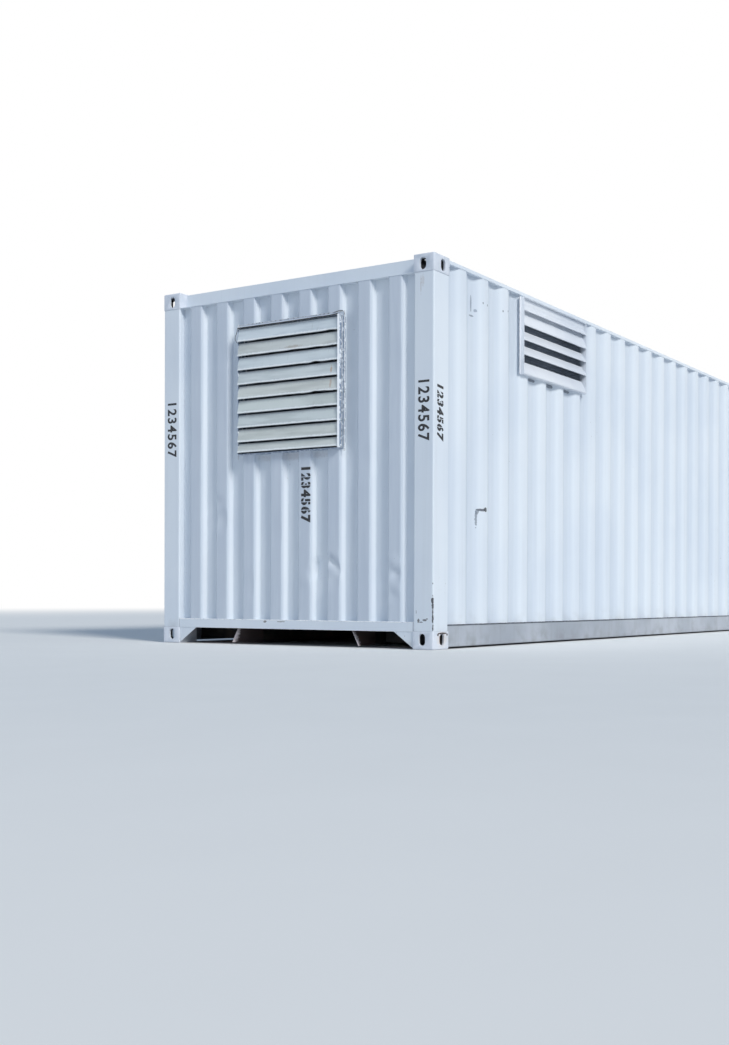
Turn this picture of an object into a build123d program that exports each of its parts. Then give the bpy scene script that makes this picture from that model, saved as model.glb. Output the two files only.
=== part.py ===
from build123d import *
import os

# Forty-foot steel container fitted with two louvred ventilators.
# X runs along the length, the louvred front end at -X. Z is up from the ground.
# "Right" is the -Y side, on the right of someone who faces the front end.
# A setback is measured inwards from the nearest outer plane of the castings,
# a drop downwards from the top of the castings.

# Overall box, over the corner castings
LENGTH = 12192.0
WIDTH = 2438.0
HEIGHT = 2591.0

# Corner castings
CASTING_LENGTH = 178.0
CASTING_WIDTH = 162.0
CASTING_HEIGHT = 118.0
CASTING_SHEAR_PLATE = 28.5
CASTING_SIDE_WALL = 16.0
CASTING_BACK_WALL = 10.0
CASTING_CORNER_ROUND = 12.0
CASTING_EDGE_CHAMFER = 8.0
TWISTLOCK_SLOT_LENGTH = 124.0
TWISTLOCK_SLOT_WIDTH = 63.5
TWISTLOCK_FROM_END = 103.5
TWISTLOCK_FROM_SIDE = 89.5
SIDE_HOLE_HEIGHT = 79.5
SIDE_HOLE_WIDTH = 51.0
SIDE_HOLE_LEVEL = 65.0

# Corner posts
POST_SETBACK = 3.0
FRONT_POST_PLATE = 6.0
FRONT_POST_BEND = 5.0
FRONT_POST_RETURN = 60.0
REAR_POST_WIDTH = 47.5
REAR_POST_PLATE = 6.0
REAR_POST_INNER_WEB = 12.0
REAR_POST_FLANGE = 18.0

# Corrugated walls
WALL_SETBACK = 9.0
FRONT_SHEET = 2.0
FRONT_PITCH = 257.0
FRONT_CREST = 106.0
FRONT_SLOPE = 18.0
FRONT_DEPTH = 45.6
FRONT_CREST_COUNT = 8
SIDE_SHEET = 2.0
SIDE_PITCH = 278.0
SIDE_CREST = 72.0
SIDE_SLOPE = 68.0
SIDE_DEPTH = 36.0
SIDE_FIRST_CREST = 182.5

# Top rails, with the ledge that closes each wall's corrugations
RAIL_TUBE = 60.0
RAIL_WALL = 3.0
LEDGE_PLATE = 4.0
LEDGE_SETBACK = 6.0
ROOF_DROP = 11.0
SIDE_LEDGE_DROP = 36.0
SIDE_RAIL_SETBACK = 50.0
HEADER_LEDGE_DROP = 113.0
HEADER_SETBACK = 72.0
ROOF_LAP = 40.0

# Roof, die-stamped with troughs across it
ROOF_SHEET = 2.0
ROOF_EDGE_ON_RAIL = 45.0
TROUGH_PITCH = 209.0
TROUGH_WIDTH = 104.0
TROUGH_DEPTH = 16.0
TROUGH_SLOPE = 14.0
TROUGH_END_MARGIN = 30.0
CORNER_PLATE = 3.0
CORNER_PLATE_LENGTH = 300.0
CORNER_PLATE_WIDTH = 270.0

# Bottom rails
BOTTOM_CLEARANCE = 12.0
SIDE_SILL_SETBACK = 14.0
SIDE_SILL_TOP = 158.0
SIDE_SILL_PLATE = 4.5
SIDE_SILL_BEND = 4.0
SIDE_SILL_TOP_FLANGE = 48.0
SIDE_SILL_BOTTOM_FLANGE = 30.0
GUSSET_PLATE = 4.5
GUSSET_WIDTH = 165.0
GUSSET_TOE = 14.0
GUSSET_SETBACK = 10.0

# Gooseneck tunnel
TUNNEL_WIDTH = 1029.0
TUNNEL_LENGTH = 3300.0
TUNNEL_PLATE = 4.0
TUNNEL_BEAM_FLANGE = 50.0
TUNNEL_MOUTH_SETBACK = 50.0
TUNNEL_FLARE_LENGTH = 260.0
TUNNEL_FLARE = 56.0
BOW_CROWN = 50.0
BOW_FLANGE = 22.0
BOLSTER_WIDTH = 150.0

# Underframe and floor
CROSS_MEMBER_HEIGHT = 122.0
CROSS_MEMBER_TOP_FLANGE = 45.0
CROSS_MEMBER_BOTTOM_FLANGE = 40.0
CROSS_MEMBER_PLATE = 4.0
CROSS_MEMBER_PITCH = 293.0
FLOOR_BOTTOM = 148.0
FLOOR_BOARD = 28.0
FLOOR_EDGE = 66.0

# Rear frame and doors
DOOR_SETBACK = 62.0
REAR_FRAME_DEPTH = 100.0
REAR_FRAME_PLATE = 4.0
SILL_TOP = 165.0
DOOR_HEADER_DROP = 146.0
GUTTER_PLATE = 3.0
GUTTER_REACH = 34.0
GUTTER_LIP = 12.0
GUTTER_CLEARANCE = 10.0
DOOR_GAP = 10.0
LEAF_DEPTH = 50.0
LEAF_STILE = 100.0
LEAF_RAIL = 120.0
LEAF_WALL = 3.0
LEAF_SHEET = 2.0
LEAF_RIB_COUNT = 4
LEAF_RIB_CREST = 90.0
LEAF_RIB_SLOPE = 30.0
LEAF_RIB_DEPTH = 30.0
GASKET = 8.0
GASKET_LAP = 50.0
GASKET_CLEARANCE = 0.5

# Locking gear
LOCK_ROD = 34.0
LOCK_ROD_WALL = 3.0
LOCK_ROD_STANDOFF = 4.0
LOCK_ROD_OVERRUN = 62.0
LOCK_ROD_FROM_STILE = 210.0
ROD_BRACKET_HEIGHT = 60.0
ROD_BRACKET_FOOT = 30.0
ROD_BRACKET_PLATE = 4.0
ROD_CLEARANCE = 0.5
CAM_HEIGHT = 46.0
CAM_THICKNESS = 18.0
CAM_REACH = 50.0
KEEPER_CLEARANCE = 1.0
KEEPER_JAW = 8.0
KEEPER_BITE = 20.0
OUTER_HANDLE_LEVEL = 1110.0
INNER_HANDLE_LEVEL = 1290.0
HANDLE_BAR = 34.0
HANDLE_THICKNESS = 10.0
HANDLE_OVERHANG = 90.0
HUB_HEIGHT = 70.0
HUB_WALL = 7.0
CATCH_WIDTH = 40.0
CATCH_WALL = 6.0
CATCH_CLEARANCE = 1.0

# Door hinges
HINGE_COUNT = 4
HINGE_HEIGHT = 150.0
HINGE_TIP_HEIGHT = 90.0
HINGE_BLADE = 10.0
HINGE_REACH = 120.0
HINGE_KNUCKLE = 26.0
HINGE_LUG = 28.0
HINGE_CLEARANCE = 1.0

# Louvres
LOUVRE_SHEET = 2.0
LOUVRE_FOOT = 10.0
BLADE_LIP = 10.0
BLADE_HEM = 10.0
BLADE_STRIP_RISE = 26.0
BLADE_STRIP_RUN = 5.0

# End louvre
END_LOUVRE_WIDTH = 910.0
END_LOUVRE_DROP = 329.0
END_LOUVRE_HEIGHT = 904.0
END_LOUVRE_STAND = 35.0
END_LOUVRE_INSIDE = 60.0
END_LOUVRE_FLANGE = 24.0
END_LOUVRE_HEAD = 101.0
END_BLADE_PITCH = 102.4
END_BLADE_RISE = 60.0
END_BLADE_RUN = 15.0
END_BLADE_PROUD = 12.0

# Side louvre
SIDE_LOUVRE_FROM_END = 1071.0
SIDE_LOUVRE_WIDTH = 1112.0
SIDE_LOUVRE_DROP = 47.0
SIDE_LOUVRE_HEIGHT = 567.0
SIDE_LOUVRE_STAND = 28.0
SIDE_LOUVRE_INSIDE = 40.0
SIDE_LOUVRE_STILE = 60.0
SIDE_LOUVRE_EDGE = 16.0
SIDE_LOUVRE_HEAD = 98.0
SIDE_BLADE_PITCH = 108.0
SIDE_BLADE_RISE = 38.0
SIDE_BLADE_RUN = 40.0
SIDE_BLADE_PROUD = 3.0

# Planes and levels that follow from the sizes above
FRONT = -LENGTH / 2
REAR = LENGTH / 2
RIGHT = -WIDTH / 2
POST_TOP = HEIGHT - CASTING_HEIGHT
ROOF_TOP = HEIGHT - ROOF_DROP
ROOF_SEAT = ROOF_TOP - ROOF_SHEET
SIDE_LEDGE_FOOT = HEIGHT - SIDE_LEDGE_DROP
HEADER_LEDGE_TOP = HEIGHT - HEADER_LEDGE_DROP
FRONT_RAIL_TOP = CASTING_HEIGHT + RAIL_TUBE
HEADER_BOTTOM = HEIGHT - DOOR_HEADER_DROP
BETWEEN_CASTINGS = WIDTH / 2 - CASTING_WIDTH
BETWEEN_SILLS = WIDTH / 2 - SIDE_SILL_SETBACK - SIDE_SILL_PLATE
TUNNEL_END = FRONT + TUNNEL_LENGTH
LEAF_FACE = REAR - DOOR_SETBACK
LEAF_BOTTOM = SILL_TOP + DOOR_GAP
LEAF_TOP = HEADER_BOTTOM - DOOR_GAP
LEAF_OUTER = RIGHT + REAR_POST_WIDTH + DOOR_GAP
LEAF_INNER = -DOOR_GAP / 2
ROD_X = LEAF_FACE + LOCK_ROD_STANDOFF + LOCK_ROD / 2
OUTER_ROD_Y = LEAF_OUTER + LOCK_ROD_FROM_STILE
INNER_ROD_Y = LEAF_INNER - LOCK_ROD_FROM_STILE
ROD_FOOT = LEAF_BOTTOM - LOCK_ROD_OVERRUN
ROD_HEAD = LEAF_TOP + LOCK_ROD_OVERRUN


def block(x_span, y_span, z_span):
    """Solid box between the two values of each span."""
    spans = (x_span, y_span, z_span)
    centre = [(low + high) / 2 for low, high in spans]
    size = [high - low for low, high in spans]
    return Pos(*centre) * Box(*size)


def span_in(start, first, second):
    """Span between two depths, measured inwards from a plane on the negative side."""
    return (start + first, start + second)


def prism(outline, plane, length):
    """Outline drawn on a plane and pulled along the plane's own normal."""
    face = plane * make_face(Polyline(*outline, close=True))
    return extrude(face, amount=length, dir=plane.z_dir)


def folded(points, thickness):
    """Outline of a sheet that lies on the left of its fold points, on the right if negative."""
    corners = [Vector(*point) for point in points]
    runs = [(end - start).normalized() for start, end in zip(corners, corners[1:])]
    normals = [Vector(-run.Y, run.X) for run in runs]
    other_side = [corners[0] + normals[0] * thickness]
    for corner, before, after in zip(corners[1:-1], normals, normals[1:]):
        mitre = thickness / (1 + before.dot(after))
        other_side.append(corner + (before + after) * mitre)
    other_side.append(corners[-1] + normals[-1] * thickness)
    return corners + other_side[::-1]


def pressed(points, thickness, bend, plane, length):
    """Folded plate whose bends are rounded, pulled along the plane's own normal."""
    outline = folded(points, thickness)
    fold_radii = []
    other_radii = []
    for before, corner, after in zip(points, points[1:], points[2:]):
        turn = (Vector(*corner) - Vector(*before)).cross(Vector(*after) - Vector(*corner)).Z
        inner_on_fold_line = turn * thickness < 0
        fold_radii.append(bend if inner_on_fold_line else bend + abs(thickness))
        other_radii.append(bend + abs(thickness) if inner_on_fold_line else bend)
    radii = [0.0] + fold_radii + [0.0, 0.0] + other_radii[::-1] + [0.0]
    face = plane * make_face(FilletPolyline(*outline, radius=radii, close=True))
    return extrude(face, amount=length, dir=plane.z_dir)


def square_tube(x_span, y_span, z_span, wall, open_axis):
    """Hollow section with its ends open along one axis."""
    hollow = []
    for axis, (low, high) in enumerate((x_span, y_span, z_span)):
        inset = 0 if axis == open_axis else wall
        hollow.append((low + inset, high - inset))
    return block(x_span, y_span, z_span) - block(*hollow)


def mirrored(shape):
    """The same piece on the left side of the container."""
    return mirror(shape, about=Plane.XZ)


def in_both_sides(shape):
    """A piece and its mirror image on the other long side."""
    return [shape, mirrored(shape)]


def group(shapes):
    """Like pieces that share a node."""
    return Compound(children=[solid for shape in shapes for solid in shape.solids()])


def slot_cutter(plane, length, width, depth):
    """Cutter for a slotted hole, its length along the plane's own X axis."""
    return extrude(plane * SlotOverall(length, width), amount=depth, both=True)


def corner_casting():
    """Bottom casting of the front right corner, a pocket behind three apertures."""
    body = block(
        span_in(FRONT, 0, CASTING_LENGTH), span_in(RIGHT, 0, CASTING_WIDTH), (0, CASTING_HEIGHT)
    )
    outer_corner = body.edges().filter_by(Axis.Z).sort_by(lambda edge: edge.center().X + edge.center().Y)
    body = fillet(outer_corner[:1], CASTING_CORNER_ROUND)
    foot_edges = body.faces().sort_by(Axis.Z)[0].edges()
    near_front = FRONT + CASTING_CORNER_ROUND
    near_side = RIGHT + CASTING_CORNER_ROUND
    outer_foot = [edge for edge in foot_edges if edge.center().X < near_front or edge.center().Y < near_side]
    body = chamfer(outer_foot, CASTING_EDGE_CHAMFER)
    pocket = block(
        span_in(FRONT, CASTING_SIDE_WALL, CASTING_LENGTH - CASTING_BACK_WALL),
        span_in(RIGHT, CASTING_SIDE_WALL, CASTING_WIDTH - CASTING_BACK_WALL),
        (CASTING_SHEAR_PLATE, CASTING_HEIGHT - CASTING_BACK_WALL),
    )
    twistlock_x = FRONT + TWISTLOCK_FROM_END
    twistlock_y = RIGHT + TWISTLOCK_FROM_SIDE
    floor_slot = slot_cutter(
        Plane((twistlock_x, twistlock_y, 0)),
        TWISTLOCK_SLOT_LENGTH, TWISTLOCK_SLOT_WIDTH, CASTING_SHEAR_PLATE,
    )
    end_plane = Plane((FRONT, twistlock_y, SIDE_HOLE_LEVEL), x_dir=(0, 0, 1), z_dir=(1, 0, 0))
    side_plane = Plane((twistlock_x, RIGHT, SIDE_HOLE_LEVEL), x_dir=(0, 0, 1), z_dir=(0, 1, 0))
    end_hole = slot_cutter(end_plane, SIDE_HOLE_HEIGHT, SIDE_HOLE_WIDTH, CASTING_SIDE_WALL)
    side_hole = slot_cutter(side_plane, SIDE_HOLE_HEIGHT, SIDE_HOLE_WIDTH, CASTING_SIDE_WALL)
    return body - pocket - floor_slot - end_hole - side_hole


def casting_pairs():
    """The eight castings, in pairs across the width at each end, below and above."""
    mid_height = Plane.XY.offset(HEIGHT / 2)
    bottom_front = in_both_sides(corner_casting())
    bottom_rear = [mirror(casting, about=Plane.YZ) for casting in bottom_front]
    top_front = [mirror(casting, about=mid_height) for casting in bottom_front]
    top_rear = [mirror(casting, about=mid_height) for casting in bottom_rear]
    return {
        "bottom_castings_front": group(bottom_front),
        "bottom_castings_rear": group(bottom_rear),
        "top_castings_front": group(top_front),
        "top_castings_rear": group(top_rear),
    }


def front_post():
    """Front right corner post, pressed from plate with a return flange at each wall."""
    plan = [
        (FRONT_POST_RETURN, CASTING_WIDTH),
        (POST_SETBACK, CASTING_WIDTH),
        (POST_SETBACK, POST_SETBACK),
        (CASTING_LENGTH, POST_SETBACK),
        (CASTING_LENGTH, FRONT_POST_RETURN),
    ]
    points = [(FRONT + x_depth, RIGHT + y_depth) for x_depth, y_depth in plan]
    foot = Plane.XY.offset(CASTING_HEIGHT)
    return pressed(points, FRONT_POST_PLATE, FRONT_POST_BEND, foot, POST_TOP - CASTING_HEIGHT)


def rear_post():
    """Rear right corner post, a closed section with a heavy web beside the doors."""
    x_span = (REAR - CASTING_LENGTH, REAR - POST_SETBACK)
    y_span = span_in(RIGHT, POST_SETBACK, REAR_POST_WIDTH)
    z_span = (CASTING_HEIGHT, POST_TOP)
    hollow_x = (x_span[0] + REAR_POST_PLATE, x_span[1] - REAR_POST_PLATE)
    hollow_y = (y_span[0] + REAR_POST_PLATE, y_span[1] - REAR_POST_INNER_WEB)
    post = block(x_span, y_span, z_span) - block(hollow_x, hollow_y, z_span)
    flange = block(
        (x_span[0], x_span[0] + REAR_POST_PLATE),
        (y_span[1], y_span[1] + REAR_POST_FLANGE),
        z_span,
    )
    return post + flange


def corrugation_line(start, stop, centres, crest, slope, depth):
    """Fold points (along, depth) of a sheet that starts and ends in a recess."""
    points = [(start, depth)]
    for centre in centres:
        points.append((centre - crest / 2 - slope, depth))
        points.append((centre - crest / 2, 0))
        points.append((centre + crest / 2, 0))
        points.append((centre + crest / 2 + slope, depth))
    points.append((stop, depth))
    return points


def front_wall():
    """Corrugated end wall, cut through for the end louvre."""
    first = -(FRONT_CREST_COUNT - 1) / 2 * FRONT_PITCH
    centres = [first + index * FRONT_PITCH for index in range(FRONT_CREST_COUNT)]
    line = corrugation_line(
        -BETWEEN_CASTINGS, BETWEEN_CASTINGS, centres, FRONT_CREST, FRONT_SLOPE, FRONT_DEPTH
    )
    points = [(FRONT + WALL_SETBACK + depth, along) for along, depth in line]
    outline = folded(points, -FRONT_SHEET)
    top = HEADER_LEDGE_TOP - LEDGE_PLATE
    sheet = prism(outline, Plane.XY.offset(FRONT_RAIL_TOP), top - FRONT_RAIL_TOP)
    louvre_top = HEIGHT - END_LOUVRE_DROP
    opening = block(
        span_in(FRONT, WALL_SETBACK, WALL_SETBACK + FRONT_DEPTH + FRONT_SHEET),
        (-END_LOUVRE_WIDTH / 2, END_LOUVRE_WIDTH / 2),
        (louvre_top - END_LOUVRE_HEIGHT, louvre_top),
    )
    return sheet - opening


def side_wall():
    """Corrugated long wall of the right side, without its opening."""
    start = FRONT + CASTING_LENGTH
    stop = REAR - CASTING_LENGTH
    room = stop - start - SIDE_FIRST_CREST - SIDE_CREST / 2 - SIDE_SLOPE
    count = 1 + int(room // SIDE_PITCH)
    centres = [start + SIDE_FIRST_CREST + index * SIDE_PITCH for index in range(count)]
    line = corrugation_line(start, stop, centres, SIDE_CREST, SIDE_SLOPE, SIDE_DEPTH)
    points = [(along, RIGHT + WALL_SETBACK + depth) for along, depth in line]
    outline = folded(points, SIDE_SHEET)
    return prism(outline, Plane.XY.offset(SIDE_SILL_TOP), SIDE_LEDGE_FOOT - SIDE_SILL_TOP)


def right_wall():
    """Long wall of the right side, cut through for the sleeve of the side louvre."""
    louvre_top = HEIGHT - SIDE_LOUVRE_DROP
    start = FRONT + SIDE_LOUVRE_FROM_END
    opening = block(
        span_in(start, SIDE_LOUVRE_STILE, SIDE_LOUVRE_WIDTH - SIDE_LOUVRE_STILE),
        span_in(RIGHT, WALL_SETBACK, WALL_SETBACK + SIDE_DEPTH + SIDE_SHEET),
        (louvre_top - SIDE_LOUVRE_HEIGHT + SIDE_LOUVRE_EDGE, louvre_top - SIDE_LOUVRE_EDGE),
    )
    return side_wall() - opening


def front_top_rail():
    """Header between the front castings: a ledge, a set-back face, a roof lap and a tube."""
    lap_end = CASTING_LENGTH + ROOF_LAP
    profile = [
        (LEDGE_SETBACK, HEADER_LEDGE_TOP),
        (HEADER_SETBACK, HEADER_LEDGE_TOP),
        (HEADER_SETBACK, ROOF_TOP + LEDGE_PLATE),
        (lap_end, ROOF_TOP + LEDGE_PLATE),
    ]
    points = [(FRONT + depth, level) for depth, level in profile]
    plane = Plane((0, BETWEEN_CASTINGS, 0), x_dir=(1, 0, 0), z_dir=(0, -1, 0))
    plate = prism(folded(points, -LEDGE_PLATE), plane, 2 * BETWEEN_CASTINGS)
    tube_setback = HEADER_SETBACK + LEDGE_PLATE
    tube = square_tube(
        span_in(FRONT, tube_setback, tube_setback + RAIL_TUBE),
        (-BETWEEN_CASTINGS, BETWEEN_CASTINGS),
        (ROOF_TOP - RAIL_TUBE, ROOF_TOP),
        RAIL_WALL, 1,
    )
    return plate + tube


def top_side_rail():
    """Tube between two top castings, with a flat tube outside that covers the wall's top edge."""
    x_span = (FRONT + CASTING_LENGTH, REAR - CASTING_LENGTH)
    tube = square_tube(
        x_span,
        span_in(RIGHT, SIDE_RAIL_SETBACK, SIDE_RAIL_SETBACK + RAIL_TUBE),
        (ROOF_SEAT - RAIL_TUBE, ROOF_SEAT),
        RAIL_WALL, 0,
    )
    ledge = square_tube(
        x_span,
        span_in(RIGHT, LEDGE_SETBACK, SIDE_RAIL_SETBACK),
        (SIDE_LEDGE_FOOT, ROOF_SEAT),
        RAIL_WALL, 0,
    )
    return tube + ledge


def hipped_bar(width, length, depth, slope):
    """Bar that hangs below the origin, its four sides sloping in towards its foot."""
    across = [
        (-width / 2, 0), (width / 2, 0), (width / 2 - slope, -depth), (slope - width / 2, -depth)
    ]
    along = [
        (-length / 2, 0), (length / 2, 0), (length / 2 - slope, -depth), (slope - length / 2, -depth)
    ]
    long_bar = prism(across, Plane((0, length / 2, 0), x_dir=(1, 0, 0), z_dir=(0, -1, 0)), length)
    return long_bar & prism(along, Plane((-width / 2, 0, 0), x_dir=(0, 1, 0), z_dir=(1, 0, 0)), width)


def roof():
    """Roof sheet between the castings' planes, with stamped troughs."""
    half_width = WIDTH / 2 - SIDE_RAIL_SETBACK - RAIL_TUBE + ROOF_EDGE_ON_RAIL
    x_front = FRONT + CASTING_LENGTH
    x_rear = REAR - CASTING_LENGTH
    sheet = block((x_front, x_rear), (-half_width, half_width), (ROOF_SEAT, ROOF_TOP))
    count = int((x_rear - x_front) // TROUGH_PITCH) - 1
    first = (x_front + x_rear - (count - 1) * TROUGH_PITCH) / 2
    trough_length = WIDTH - 2 * (SIDE_RAIL_SETBACK + RAIL_TUBE + TROUGH_END_MARGIN)
    thin = 2 * ROOF_SHEET * TROUGH_SLOPE / TROUGH_DEPTH
    pan = Pos(0, 0, ROOF_SEAT) * hipped_bar(TROUGH_WIDTH, trough_length, TROUGH_DEPTH, TROUGH_SLOPE)
    hollow = Pos(0, 0, ROOF_TOP) * hipped_bar(
        TROUGH_WIDTH - thin / 2, trough_length - thin / 2, TROUGH_DEPTH, TROUGH_SLOPE
    )
    places = [Pos(first + index * TROUGH_PITCH, 0, 0) for index in range(count)]
    return (sheet + [place * pan for place in places]) - [place * hollow for place in places]


def corner_plates():
    """Doubler plates on the roof behind each top casting."""
    front_plate = block(
        span_in(FRONT, CASTING_LENGTH + ROOF_LAP, CASTING_LENGTH + ROOF_LAP + CORNER_PLATE_LENGTH),
        span_in(RIGHT, SIDE_RAIL_SETBACK + RAIL_TUBE - ROOF_EDGE_ON_RAIL, CORNER_PLATE_WIDTH),
        (ROOF_TOP, ROOF_TOP + CORNER_PLATE),
    )
    front_pair = in_both_sides(front_plate)
    rear_pair = [mirror(plate, about=Plane.YZ) for plate in front_pair]
    return group(front_pair + rear_pair)


def front_bottom_rail():
    """Tube between the front posts, on the level of the castings' tops."""
    return square_tube(
        span_in(FRONT, LEDGE_SETBACK, LEDGE_SETBACK + RAIL_TUBE),
        (-BETWEEN_CASTINGS, BETWEEN_CASTINGS),
        (CASTING_HEIGHT, FRONT_RAIL_TOP),
        RAIL_WALL, 1,
    )


def front_gussets():
    """Sloping plates between the bottom rail and the foot of each front casting."""
    outline = [
        (-BETWEEN_CASTINGS, GUSSET_TOE),
        (-BETWEEN_CASTINGS + GUSSET_TOE, GUSSET_TOE),
        (-BETWEEN_CASTINGS + GUSSET_WIDTH, CASTING_HEIGHT),
        (-BETWEEN_CASTINGS, CASTING_HEIGHT),
    ]
    plate = prism(outline, Plane.YZ.offset(FRONT + GUSSET_SETBACK), GUSSET_PLATE)
    return group(in_both_sides(plate))


def bottom_side_rail():
    """Channel between two bottom castings, open towards the inside."""
    profile = [
        (SIDE_SILL_SETBACK + SIDE_SILL_TOP_FLANGE, SIDE_SILL_TOP),
        (SIDE_SILL_SETBACK, SIDE_SILL_TOP),
        (SIDE_SILL_SETBACK, BOTTOM_CLEARANCE),
        (SIDE_SILL_SETBACK + SIDE_SILL_BOTTOM_FLANGE, BOTTOM_CLEARANCE),
    ]
    points = [(RIGHT + depth, level) for depth, level in profile]
    plane = Plane.YZ.offset(FRONT + CASTING_LENGTH)
    return pressed(points, SIDE_SILL_PLATE, SIDE_SILL_BEND, plane, LENGTH - 2 * CASTING_LENGTH)


def outrigger_places():
    """Front faces of the members beside the tunnel, spaced forwards from the bolster."""
    room = TUNNEL_LENGTH - CASTING_LENGTH - CROSS_MEMBER_TOP_FLANGE
    count = int(room // CROSS_MEMBER_PITCH)
    return [TUNNEL_END - (index + 1) * CROSS_MEMBER_PITCH for index in range(count)]


def cross_member_places():
    """Front faces of the members between the bolster and the rear sill."""
    start = TUNNEL_END + BOLSTER_WIDTH + CROSS_MEMBER_PITCH / 2
    stop = LEAF_FACE - REAR_FRAME_DEPTH - CROSS_MEMBER_TOP_FLANGE
    count = 1 + int((stop - start) // CROSS_MEMBER_PITCH)
    return [start + index * CROSS_MEMBER_PITCH for index in range(count)]


def channel_member(x, y_span):
    """Pressed channel under the floor, its web at the front."""
    profile = [
        (x + CROSS_MEMBER_TOP_FLANGE, FLOOR_BOTTOM),
        (x, FLOOR_BOTTOM),
        (x, FLOOR_BOTTOM - CROSS_MEMBER_HEIGHT),
        (x + CROSS_MEMBER_BOTTOM_FLANGE, FLOOR_BOTTOM - CROSS_MEMBER_HEIGHT),
    ]
    plane = Plane((0, y_span[1], 0), x_dir=(1, 0, 0), z_dir=(0, -1, 0))
    return prism(folded(profile, CROSS_MEMBER_PLATE), plane, y_span[1] - y_span[0])


def outriggers():
    """Short channels between each tunnel beam and the side rail."""
    y_span = (-BETWEEN_SILLS, -TUNNEL_WIDTH / 2 - TUNNEL_BEAM_FLANGE)
    members = [channel_member(x, y_span) for x in outrigger_places()]
    return group(members + [mirrored(member) for member in members])


def cross_members():
    """Channels from side to side between the tunnel and the rear sill."""
    y_span = (-BETWEEN_SILLS, BETWEEN_SILLS)
    return group([channel_member(x, y_span) for x in cross_member_places()])


def tunnel_plate():
    """Steel plate over the gooseneck tunnel, with hat-shaped bows that carry the floor."""
    top = CASTING_HEIGHT + TUNNEL_PLATE
    half_width = TUNNEL_WIDTH / 2
    plate = block(
        (FRONT + LEDGE_SETBACK + RAIL_TUBE, TUNNEL_END),
        (-half_width, half_width),
        (CASTING_HEIGHT, top),
    )
    hat = [
        (-BOW_FLANGE, top),
        (0, top),
        (0, FLOOR_BOTTOM - TUNNEL_PLATE),
        (BOW_CROWN, FLOOR_BOTTOM - TUNNEL_PLATE),
        (BOW_CROWN, top),
        (BOW_CROWN + BOW_FLANGE, top),
    ]
    plane = Plane((0, half_width, 0), x_dir=(1, 0, 0), z_dir=(0, -1, 0))
    bow = prism(folded(hat, TUNNEL_PLATE), plane, TUNNEL_WIDTH)
    return plate + [Pos(x, 0, 0) * bow for x in outrigger_places()]


def tunnel_beams():
    """Channels along both sides of the tunnel, the tunnel's side as their web."""
    side = -TUNNEL_WIDTH / 2
    profile = [
        (side - TUNNEL_BEAM_FLANGE, BOTTOM_CLEARANCE),
        (side, BOTTOM_CLEARANCE),
        (side, FLOOR_BOTTOM),
        (side - TUNNEL_BEAM_FLANGE, FLOOR_BOTTOM),
    ]
    start = FRONT + TUNNEL_MOUTH_SETBACK + TUNNEL_FLARE_LENGTH
    beam = pressed(profile, SIDE_SILL_PLATE, SIDE_SILL_BEND, Plane.YZ.offset(start), TUNNEL_END - start)
    return group(in_both_sides(beam))


def tunnel_cheeks():
    """Plates that widen the tunnel towards its mouth, more at the foot than at the top."""
    side = -TUNNEL_WIDTH / 2
    mouth_x = FRONT + TUNNEL_MOUTH_SETBACK

    def section(x, foot_flare):
        foot = Vector(x, side - foot_flare, BOTTOM_CLEARANCE)
        head = Vector(x, side, CASTING_HEIGHT)
        back = Vector(0, -TUNNEL_PLATE, 0)
        return make_face(Polyline(foot, head, head + back, foot + back, close=True))

    cheek = loft([section(mouth_x, TUNNEL_FLARE), section(mouth_x + TUNNEL_FLARE_LENGTH, 0)])
    return group(in_both_sides(cheek))


def tunnel_bolster():
    """Box beam across the inner end of the tunnel."""
    return square_tube(
        (TUNNEL_END, TUNNEL_END + BOLSTER_WIDTH),
        (-BETWEEN_SILLS, BETWEEN_SILLS),
        (FLOOR_BOTTOM - CROSS_MEMBER_HEIGHT, FLOOR_BOTTOM),
        CROSS_MEMBER_PLATE, 1,
    )


def floor():
    """Plywood deck on the underframe."""
    half_width = WIDTH / 2 - FLOOR_EDGE
    return block(
        (FRONT + FLOOR_EDGE + LEDGE_SETBACK, LEAF_FACE - REAR_FRAME_DEPTH),
        (-half_width, half_width),
        (FLOOR_BOTTOM, FLOOR_BOTTOM + FLOOR_BOARD),
    )


def rear_frame_beam(between_castings, between_posts):
    """Cross beam of the door frame, wider where it clears the castings."""
    x_span = (LEAF_FACE - REAR_FRAME_DEPTH, LEAF_FACE)
    half_posts = WIDTH / 2 - REAR_POST_WIDTH
    inner = square_tube(
        x_span, (-BETWEEN_CASTINGS, BETWEEN_CASTINGS), between_castings, REAR_FRAME_PLATE, 1
    )
    outer = square_tube(x_span, (-half_posts, half_posts), between_posts, REAR_FRAME_PLATE, 1)
    return inner + outer


def rear_header():
    """Beam over the doors, with a lap on the roof and a rain gutter above the lock rods."""
    beam = rear_frame_beam((POST_TOP, ROOF_TOP), (HEADER_BOTTOM, POST_TOP))
    y_span = (-BETWEEN_CASTINGS, BETWEEN_CASTINGS)
    lap = block(
        (REAR - CASTING_LENGTH - ROOF_LAP, LEAF_FACE), y_span, (ROOF_TOP, ROOF_TOP + LEDGE_PLATE)
    )
    gutter_level = ROD_HEAD + GUTTER_CLEARANCE
    gutter_profile = [
        (LEAF_FACE, gutter_level),
        (LEAF_FACE + GUTTER_REACH, gutter_level),
        (LEAF_FACE + GUTTER_REACH, gutter_level + GUTTER_LIP),
    ]
    plane = Plane((0, BETWEEN_CASTINGS, 0), x_dir=(1, 0, 0), z_dir=(0, -1, 0))
    gutter = prism(folded(gutter_profile, GUTTER_PLATE), plane, 2 * BETWEEN_CASTINGS)
    return beam + lap + gutter


def rear_sill():
    """Beam under the doors."""
    return rear_frame_beam((BOTTOM_CLEARANCE, CASTING_HEIGHT), (CASTING_HEIGHT, SILL_TOP))


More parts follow.
